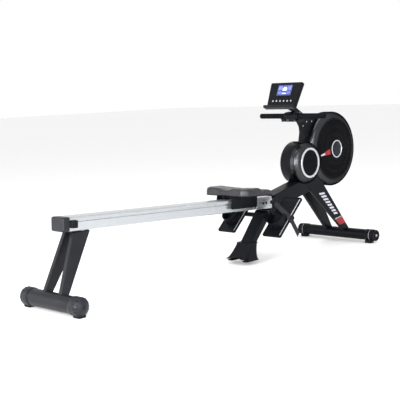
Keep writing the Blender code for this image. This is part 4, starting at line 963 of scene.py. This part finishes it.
def hub_cap():
    base = Vector((FAN.x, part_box("fan_hub_cap")[1].y, FAN.z))
    skirt = [(0.0535, 0.005), (0.055, 0.0046), (0.0572, 0.0022), (0.0575, 0.0), (0.0455, 0.0),
             (0.0455, 0.0034)]
    turned("hub_skirt", skirt, base, PLASTIC, "frame", 96, ring=True, stands_for="fan_hub_cap")
    ring = [(0.0455, 0.0036), (0.046, 0.0062), (0.0472, 0.0074), (0.0508, 0.0074), (0.0528, 0.006),
            (0.053, 0.0036)]
    turned("hub_ring", ring, base, SILVER, "frame", 96, ring=True)
    # The dish in the gap between ring and disc takes the shade backing: painted shade in the gap.
    dish = [(0.04, 0.004), (0.0412, 0.0022), (0.0453, 0.0022), (0.0453, 0.0004), (0.04, 0.0004)]
    turned("hub_dish", dish, base, SHADE_BACKING, "frame", 96, ring=True)
    disc = [(0, 0.0052), (0.02, 0.0051), (0.034, 0.0046), (0.0385, 0.004), (0.0398, 0.003), (0.0398, 0.0002),
            (0, 0.0002)]
    turned("hub_disc", disc, base, HUB_FACE, "frame", 96)
    back = [(0, 0.006), (0.03, 0.0056), (0.04, 0.003), (0.043, 0.0), (0, 0)]
    turned("hub_back", back, Vector((FAN.x, FAN_HALF_DEPTH + GRILLE_DOME - 0.0016, FAN.z)), PLASTIC, "frame",
           64, sign=FAR)


def accent():
    """A slanting red and a light bar on the near grille, from the drum to the hub."""
    direction = (DRUM - FAN).normalized()
    across = Vector((direction.z, 0, -direction.x))
    for name, start, end, half, material in (("accent_red", 0.06, 0.112, 0.0165, RED),
                                             ("accent_light", 0.114, 0.15, 0.0065, LIGHT)):
        bm = bmesh.new()
        rows = []
        for i in range(7):
            radius = start + (end - start) * i / 6
            taper = 1.0 - 0.35 * i / 6
            height = -(dome_height(radius) + 0.0004)
            row = [bm.verts.new(direction * radius + across * half * taper * k + Vector((0, height, 0)))
                   for k in (-1, 1)]
            row += [bm.verts.new(v.co + Vector((0, 0.0014, 0))) for v in reversed(row)]
            rows.append(row)
        loft(bm, rows)
        place(name, to_mesh(bm, name), material, "frame", Matrix.Translation(FAN))


# ---------------------------------------------------------------- mast and handle
def mast():
    refined("mast", PLASTIC, 0.0035, 3)
    half = (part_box("mast")[1].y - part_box("mast")[0].y) / 2
    spots = ((0.706, 0, 0.722), (0.74, 0, 0.745), (0.79, 0, 0.745), (0.675, 0, 0.8))
    screw_pairs("mast_screw", [Vector(spot) for spot in spots], half, 0.0048, material=STEEL)
    for side, sign in SIDES.items():
        spot = shift(HINGE.x, sign * (half + 0.008), HINGE.z)
        turned(f"hinge_boss_{side}", [(0, 0.0035), (0.006, 0.0035), (0.0085, 0.002), (0.009, 0), (0, 0)],
               ORIGIN, PLASTIC, "console", 40, sign=sign, matrix=spot)


def handle():
    """Foam grips on a bar, with a clamp-like hub in the middle."""
    for side, sign in SIDES.items():
        start, end = HUB_HALF + GAP, HANDLE_HALF
        length = end - start
        profile = [(0, length), (GRIP_R - 0.004, length), (GRIP_R - 0.001, length - 0.001),
                   (GRIP_R, length - 0.004), (GRIP_R, length - 0.01)]
        grooves = 9
        for i in range(grooves):
            at = length - 0.016 - i * 0.0165
            profile += [(GRIP_R, at), (GRIP_R - 0.0007, at - 0.001), (GRIP_R - 0.0007, at - 0.0026),
                        (GRIP_R, at - 0.0036)]
        profile += [(GRIP_R, 0.002), (GRIP_R - 0.0015, 0.0), (BAR_R + GAP, 0.0),
                    (BAR_R + GAP, length - 0.004), (0, length - 0.004)]
        turned(f"grip_{side}_foam", profile, HANDLE + Vector((0, sign * start, 0)), FOAM, "handle", 56,
               sign=sign, stands_for=f"handle_grip_{side}")
    hub = [(BAR_R, HUB_HALF), (0.019, HUB_HALF), (0.0215, HUB_HALF - 0.002), (0.022, HUB_HALF - 0.007),
           (0.0205, HUB_HALF - 0.009), (0.0205, HUB_HALF - 0.014), (0.025, HUB_HALF - 0.018),
           (HUB_R, HUB_HALF - 0.024), (HUB_R, 0.004), (HUB_R - 0.001, 0.003)]
    turned("handle_hub", hub + mirrored(hub), HANDLE, PLASTIC, "handle", 48, ring=True,
           stands_for="handle_bar")
    turned("handle_tube", rod(BAR_R, HANDLE_HALF - 0.006), HANDLE, STEEL, "handle", 40, slot="black_plastic")
    for side, sign in SIDES.items():
        spot = HANDLE + Vector((-0.0085, sign * 0.024, -0.0235))
        screw_head(f"hub_screw_{side}", spot, 0.0046, "handle", (-0.35, 0, -0.94), STEEL)
    strap = [(HUB_R + 0.0005, 0, 0), (0.04, 0, 0), (0.055, 0, 0), (0.07, 0, 0)]
    place("handle_strap_webbing", to_mesh(ribbon(smooth_path(strap, 5), (0, 1, 0), 0.018, 0.002), "strap"),
          WEBBING, "handle", Matrix.Translation(HANDLE), "handle_strap")
    block("strap_ferrule", (0.014, 0.0165, 0.0052), Matrix.Translation(HANDLE + Vector((0.031, 0, 0))), STEEL,
          "handle", 0.001)


# ---------------------------------------------------------------- console
def console_matrix():
    """Local X points at the rower, local Y across and local Z up the console's face."""
    turn = Matrix.Rotation(pi, 4, "Z") @ Matrix.Rotation(-CONSOLE_LEAN, 4, "Y")
    return Matrix.Translation(HINGE) @ turn


def case_outline(inset):
    corner = 0.008
    low, high = CONSOLE_LOW + inset, CONSOLE_HIGH - inset
    bottom = CONSOLE_HALF - 0.012 - inset
    top = CONSOLE_HALF - inset
    return (arc((bottom - corner, low + corner), corner, 270, 355, 6)
            + arc((top - corner, high - corner), corner, 0, 90, 8)
            + arc((-top + corner, high - corner), corner, 90, 180, 8)
            + arc((-bottom + corner, low + corner), corner, 185, 270, 6))


def console():
    spot = console_matrix()
    body = "console"
    case = slab("console_shell", case_outline(0.0), CONSOLE_DEPTH - 0.002,
                spot @ shift(CONSOLE_FACE - CONSOLE_DEPTH / 2 - 0.001, 0, 0) @ FACING, BEZEL, body,
                edge=0.003, stands_for="console_case")
    holes = [arc((button_across(i), BUTTON_UP), BUTTON_R + 0.0006, 0, 345, 23) for i in range(BUTTONS)]
    slab("console_fascia", case_outline(0.003), 0.003, spot @ shift(CONSOLE_FACE - 0.0016, 0, 0) @ FACING,
         BEZEL, body, holes=holes, edge=0.0008)
    for index in range(BUTTONS):
        tool_spot = spot @ shift(CONSOLE_FACE, button_across(index), BUTTON_UP)
        carve(case, turned("tool", rod(BUTTON_R + 0.0006, 0.007), ORIGIN, PLASTIC, None, 24,
                           matrix=tool_spot @ SIDEWAYS))
        console_button(index, tool_spot)
    ledge(spot)
    display(spot)
    for side, sign in SIDES.items():
        lug = spot @ shift(0.0045, sign * 0.0166, 0.0)
        block(f"console_lug_{side}_skin", (0.034, 0.0056, 0.0215), lug, PLASTIC, body, 0.002)
    for index in range(5):
        rib = spot @ shift(CONSOLE_FACE - CONSOLE_DEPTH - 0.0002, -0.04 + index * 0.02, 0.082)
        block(f"console_vent_{index + 1}", (0.002, 0.003, 0.04), rib, PLASTIC, body, 0.0007)


def button_across(index):
    return (index - (BUTTONS - 1) / 2) * BUTTON_STEP


def console_button(index, spot):
    name = f"button_{index + 1}"
    profile = [(0, 0.0016), (0.003, 0.0016), (0.0046, 0.0013), (BUTTON_R - 0.0002, 0.0006),
               (BUTTON_R, -0.0002), (BUTTON_R, -0.004), (0, -0.004)]
    turned(name + "_cap", profile, ORIGIN, BUTTON, name, 40, matrix=spot @ SIDEWAYS, stands_for=name)


def ledge(spot):
    """The rounded shelf along the console's foot."""
    half = CONSOLE_HALF - 0.007
    outline = (arc((0.018, 0.004), 0.006, 270, 360, 6) + arc((0.018, 0.0085), 0.0055, 0, 90, 6)
               + arc((0.012, 0.0115), 0.0025, 90, 180, 4) + [(0.007, 0.0085), (0.0, 0.007)]
               + [(-0.01, 0.007), (-0.01, -0.002)])
    centre = spot @ shift(CONSOLE_FACE, 0, CONSOLE_LOW - 0.0035)
    slab("console_ledge", outline, 2 * half, centre @ UPRIGHT, GREY, "console", edge=0.0015)
    grip = spot @ shift(CONSOLE_FACE + 0.004, 0, CONSOLE_LOW + 0.004)
    block("console_ledge_mat", (0.007, 2 * half - 0.03, 0.0016), grip, RUBBER, "console", 0.0006)


def display(spot):
    """A lit display with generic bars and a dial-like patch."""
    face = CONSOLE_FACE + 0.0002
    half, up, half_up, border = 0.05, 0.074, 0.032, 0.003
    glass = rectangle(0, up, half, half_up)
    slab("display_glass", glass, 0.001, spot @ shift(face, 0, 0) @ FACING, SCREEN, "console", edge=0.0003)
    lifted = face + 0.0007
    patches = ((-0.031, 0.088, 0.013, 0.012, SCREEN_VIOLET), (0.031, 0.088, 0.013, 0.012, SCREEN_VIOLET),
               (0.0, 0.079, 0.015, 0.008, SCREEN_PALE), (0.0, 0.0905, 0.0085, 0.0032, SCREEN_PALE),
               (-0.031, 0.058, 0.013, 0.008, SCREEN_VIOLET), (0.031, 0.058, 0.013, 0.008, SCREEN_VIOLET),
               (0.0, 0.0545, 0.014, 0.003, SCREEN_PALE))
    for index, (across, centre, half_w, half_h, material) in enumerate(patches):
        slab(f"display_patch_{index + 1}", rectangle(across, centre, half_w, half_h), 0.0004,
             spot @ shift(lifted, 0, 0) @ FACING, material, "console", edge=0.0)
    rim_out = rectangle(0, up, half + border, half_up + border)
    slab("display_rim", rim_out, 0.0012, spot @ shift(face, 0, 0) @ FACING, BEZEL, "console", holes=[glass],
         edge=0.0004)


# ---------------------------------------------------------------- rail and seat
def rail_matrix(along=0.0, up=0.0):
    """Local X runs along the rail, forwards; local Z is the rail's normal."""
    return Matrix.Translation(PIVOT) @ Matrix.Rotation(RAIL_SLOPE, 4, "Y") @ shift(along, 0, up)


def rounded_rectangle(half_x, half_y, corner, count=10):
    return (arc((half_x - corner, -half_y + corner), corner, 270, 360, count)
            + arc((half_x - corner, half_y - corner), corner, 0, 90, count)
            + arc((-half_x + corner, half_y - corner), corner, 90, 180, count)
            + arc((-half_x + corner, -half_y + corner), corner, 180, 270, count))


def rail():
    refined("rail", ALUMINIUM, 0.0006)
    slab("rail_cap_shell", rounded_rectangle(0.045, 0.0335, 0.011), CAP_LENGTH - 0.001,
         rail_matrix(RAIL_REAR - CAP_LENGTH / 2 - GAP) @ FACING, END_PLASTIC, "rail", edge=0.0065,
         stands_for="rail_end_cap")
    stop = rail_matrix(RAIL_REAR + 0.0195, -0.0005)
    for side, sign in SIDES.items():
        outer, inner = CARRIAGE_Y, RAIL_HALF_WIDTH - 0.0035 + GAP
        spot = stop @ shift(0, sign * (outer + inner) / 2, 0)
        block(f"seat_stop_bumper_{side}", (0.034, outer - inner, 0.034), spot, RUBBER, "rail", 0.0035,
              stands_for="seat_stop" if side == "near" else None)
        for index, up in enumerate((-0.009, 0.0, 0.009)):
            groove = stop @ shift(0, sign * (outer + 0.0001), up)
            block(f"seat_stop_rib_{side}_{index + 1}", (0.026, 0.0014, 0.003), groove, RUBBER, "rail", 0.0006)
        nose(side, sign)
    turned("seat_stop_pin", rod(0.005, 0.037), ORIGIN, STEEL, "rail", 32,
           matrix=rail_matrix(STOP_AT, -STOP_DROP))


def nose(side, sign):
    """The bright hinge plate on the rail's front end, with its two dark bolts."""
    outline = ([(-0.126, -0.033), (0.0005, -0.033)] + arc((0.0005, -0.027), 0.006, 270, 360, 5)
               + arc((-0.0105, 0.015), 0.017, 0, 90, 10) + [(-0.126, 0.032)])
    spot = rail_matrix() @ shift(0, sign * 0.0486, 0) @ UPRIGHT
    slab(f"rail_nose_{side}", outline, 0.0028, spot, ALUMINIUM, "rail", edge=0.0009)
    for index, along in enumerate((-0.045, -0.0705)):
        at = rail_matrix(along, -0.0015) @ Vector((0, sign * 0.05, 0))
        screw_head(f"rail_screw_{side}_{index + 1}", at, 0.0072, "rail", (0, sign, 0))
    filler = rail_matrix(-0.078, 0) @ shift(0, sign * 0.0443, 0)
    block(f"rail_nose_pad_{side}", (0.094, 0.0054, 0.06), filler, PLASTIC, "rail", 0.0008,
          slot="rail_aluminium")


def carriage():
    refined("seat_carriage", PAINT, 0.0007)
    refined("seat_base", PLASTIC, 0.0015)
    for name, places, up, radius in (("carriage_bolt", (-ROLLER_SPREAD, ROLLER_SPREAD), ROLLER_UP, 0.0068),
                                     ("guide_screw", (-0.07, -0.02, 0.04, 0.084), 0.004, 0.0036)):
        spots = [rail_matrix(SEAT_AT + along, up).translation for along in places]
        screw_pairs(name, spots, CARRIAGE_Y, radius, "seat")


def seat_height(x, y):
    """The pad's top: two raised lobes behind, a channel between them, hollows, and a low front."""
    step = min(max((0.022 - x) / 0.026, 0.0), 1.0)
    lobes = (PAD_TALL - PAD_LOW + 0.002) * step * step * (3 - 2 * step)
    channel = 0.011 * exp(-(y / 0.04) ** 2) * (0.45 + 0.55 * step)
    hollow = 0.0055 * exp(-((x + 0.045) / 0.045) ** 2 - ((abs(y) - 0.075) / 0.036) ** 2)
    front = 0.009 * max(0.0, (x - 0.05) / 0.08) ** 2
    groove = 0.0022 * exp(-((x - 0.03) / 0.006) ** 2)
    return PAD_LOW + 0.001 + lobes - channel - hollow - front - groove


def dense(points, length):
    """The same closed outline with points about a given length apart."""
    result = []
    for (x0, y0), (x1, y1) in zip(points, points[1:] + points[:1]):
        count = max(1, int(hypot(x1 - x0, y1 - y0) / length))
        result += [(x0 + (x1 - x0) * i / count, y0 + (y1 - y0) * i / count) for i in range(count)]
    return result


def notch(x, y):
    """How far the pad's rear edge is drawn in between its lobes."""
    return 0.004 * exp(-(y / 0.032) ** 2) if x < -0.05 else 0.0


def seat_pad():
    """A moulded foam seat: its skin is puffed by a cloth simulation, then trimmed with piping."""
    bm = bmesh.new()
    outline = dense(rounded_rectangle(PAD_HALF_X - 0.002, PAD_HALF_Y - 0.002, 0.054, 14), 0.006)
    crown = 0.955
    levels = ((0.99, PAD_BOTTOM + 0.001, 0.0), (1.0, PAD_BOTTOM + 0.004, 0.0), (1.0, None, 0.62),
              (0.985, None, 0.86), (crown, None, 0.97))
    rows = []
    for scale, height, share in levels:
        row = []
        for x, y in outline:
            top = seat_height(x, y)
            z = height if height is not None else PAD_BOTTOM + (top - PAD_BOTTOM) * share
            row.append(bm.verts.new((x * scale + notch(x, y), y * scale, z)))
        rows.append(row)
    rings = 12
    for ring in range(1, rings):
        left = 1 - ring / rings
        scale = crown * left
        rows.append([bm.verts.new((x * scale + notch(x, y) * left, y * scale,
                                   seat_height(x * scale, y * scale))) for x, y in outline])
    loft(bm, rows, capped=False)
    bm.faces.new(rows[-1])
    bm.faces.new(reversed(rows[0]))
    pad = place("seat_pad_skin", to_mesh(bm, "pad", 80), SEAT_SKIN, None, None)
    puff(pad)
    clear_base(pad)
    pad.matrix_world = rail_matrix(SEAT_AT + PAD_AT)
    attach(pad, "seat")
    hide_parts("seat_pad")
    piping()


def puff(pad):
    """Remeshes the pad and lets cloth under pressure round it, with its underside held."""
    remesh = pad.modifiers.new("remesh", "REMESH")
    remesh.mode = "VOXEL"
    remesh.voxel_size = 0.0045
    settle(pad)
    rest = [v.co.copy() for v in pad.data.vertices]
    held = pad.vertex_groups.new(name="held")
    held.add([v.index for v in pad.data.vertices if v.co.z < PAD_BOTTOM + 0.01], 1.0, "REPLACE")
    cloth = pad.modifiers.new("cloth", "CLOTH")
    cloth.settings.use_pressure = True
    cloth.settings.uniform_pressure_force = 4.0
    cloth.settings.effector_weights.gravity = 0.0
    cloth.settings.vertex_group_mass = "held"
    cloth.settings.quality = 5
    cloth.point_cache.frame_start = 1
    last = 14
    cloth.point_cache.frame_end = last
    for step in range(1, last + 1):
        bpy.context.scene.frame_set(step)
    settle(pad, 80)
    bpy.context.scene.frame_set(1)
    limit = 0.0016
    for vertex, start in zip(pad.data.vertices, rest):
        move = vertex.co - start
        if move.length > limit:
            vertex.co = start + move * (limit / move.length)
    soft = pad.modifiers.new("smooth", "SMOOTH")
    soft.factor = 0.5
    soft.iterations = 3
    settle(pad, 80)


def clear_base(pad):
    """Cuts the pocket that the base plate sits in."""
    pocket = slab("tool", rounded_rectangle(PAD_HALF_X - 0.008, PAD_HALF_Y - 0.008, 0.048), 0.06,
                  shift(0, 0, SEAT_BASE_TOP + GAP - 0.03), SEAT_SKIN, None, edge=0)
    carve(pad, pocket)


def piping():
    """A thin moulded bead around the pad's foot."""
    outline = dense(rounded_rectangle(PAD_HALF_X - 0.003, PAD_HALF_Y - 0.003, 0.053, 14), 0.008)
    bead = bpy.data.curves.new("bead", "CURVE")
    bead.dimensions = "3D"
    bead.bevel_depth = 0.0018
    bead.bevel_resolution = 3
    spline = bead.splines.new("POLY")
    spline.points.add(len(outline) - 1)
    for point, (x, y) in zip(spline.points, outline):
        point.co = (x + notch(x, y), y, PAD_BOTTOM + 0.0022, 1)
    spline.use_cyclic_u = True
    helper = linked("helper", bead)
    mesh = evaluated_mesh(helper)
    discard(helper)
    mesh.shade_smooth()
    place("seat_bead", mesh, RUBBER, "seat", rail_matrix(SEAT_AT + PAD_AT), slot="seat_skin")


# ---------------------------------------------------------------- what stays as CAD
def paint_cad():
    """Better materials for the CAD nodes that stay."""
    looks = {"fan_axle": STEEL, "reel_axle": STEEL, "fan_wheel": PLASTIC, "flywheel": ALUMINIUM,
             "drive_pulley": GREY, "strap_reel": GREY, "drive_belt": RUBBER, "seat_roller_rear": GREY,
             "seat_roller_front": GREY}
    for node, material in looks.items():
        mesh = frame["nodes"][node].data
        mesh.materials.clear()
        mesh.materials.append(material)


# ---------------------------------------------------------------- studio
def camera():
    """The view from behind the rower's left, a little above the rail."""
    focal_share, yaw, pitch, roll = 891.09 / 400, 0.7584, 0.1241, -0.0376
    eye = Vector((-3.5051, -3.1509, 0.9596))
    ahead = Vector((cos(pitch) * cos(yaw), cos(pitch) * sin(yaw), -sin(pitch)))
    level = Vector((sin(yaw), -cos(yaw), 0))
    rise = level.cross(ahead)
    right = level * cos(roll) + rise * sin(roll)
    up = rise * cos(roll) - level * sin(roll)
    lens = bpy.data.cameras.new("camera")
    lens.sensor_width = 36.0
    lens.lens = focal_share * lens.sensor_width
    thing = linked("camera", lens)
    turn = Matrix((right, up, -ahead)).transposed().to_4x4()
    thing.matrix_world = Matrix.Translation(eye) @ turn
    bpy.context.scene.camera = thing


def area_light(name, at, target, size, power):
    light = bpy.data.lights.new(name, "AREA")
    light.shape = "RECTANGLE"
    light.size, light.size_y = size
    light.energy = power
    thing = linked(name, light)
    thing.location = at
    thing.rotation_euler = (Vector(target) - Vector(at)).to_track_quat("-Z", "Y").to_euler()


def studio():
    floor_material = surface("pale_floor", (0.9, 0.9, 0.9), (0.6, 0.7), 40.0, 0.0001, change=0.01)
    bm = bmesh.new()
    bmesh.ops.create_grid(bm, x_segments=1, y_segments=1, size=30)
    floor = place("floor", to_mesh(bm, "floor"), floor_material, None, shift(0, 0, -0.001))
    world = bpy.data.worlds.new("studio")
    bpy.context.scene.world = world
    world.use_nodes = True
    background = world.node_tree.nodes["Background"]
    background.inputs["Color"].default_value = (1, 1, 1, 1)
    background.inputs["Strength"].default_value = 1.0
    bpy.context.scene.view_settings.view_transform = "Standard"
    area_light("key", (-2.2, -3.2, 3.0), (0.2, 0, 0.4), (2.2, 1.6), 60)
    area_light("highlight_strip", (-4.4, -0.6, 1.3), (0.6, 0, 0.5), (1.3, 2.6), 230)
    area_light("front", (-5.0, -3.9, 1.6), (0.4, 0, 0.5), (1.2, 2.6), 260)
    area_light("back", (-3.4, 3.0, 1.3), (0.7, 0, 0.5), (1.2, 2.6), 30)
    area_light("low", (-1.5, -4.2, 0.9), (0.2, 0, 0.4), (0.5, 1.8), 60)
    area_light("top", (0.0, 0.6, 3.6), (0.0, 0, 0.3), (3.2, 1.2), 40)


for make in (camera, studio, front_foot, rear_foot, front_legs, beam_and_brackets, middle_foot, pedals, drum,
             fan, mast, handle, console, rail, carriage, seat_pad, paint_cad):
    make()
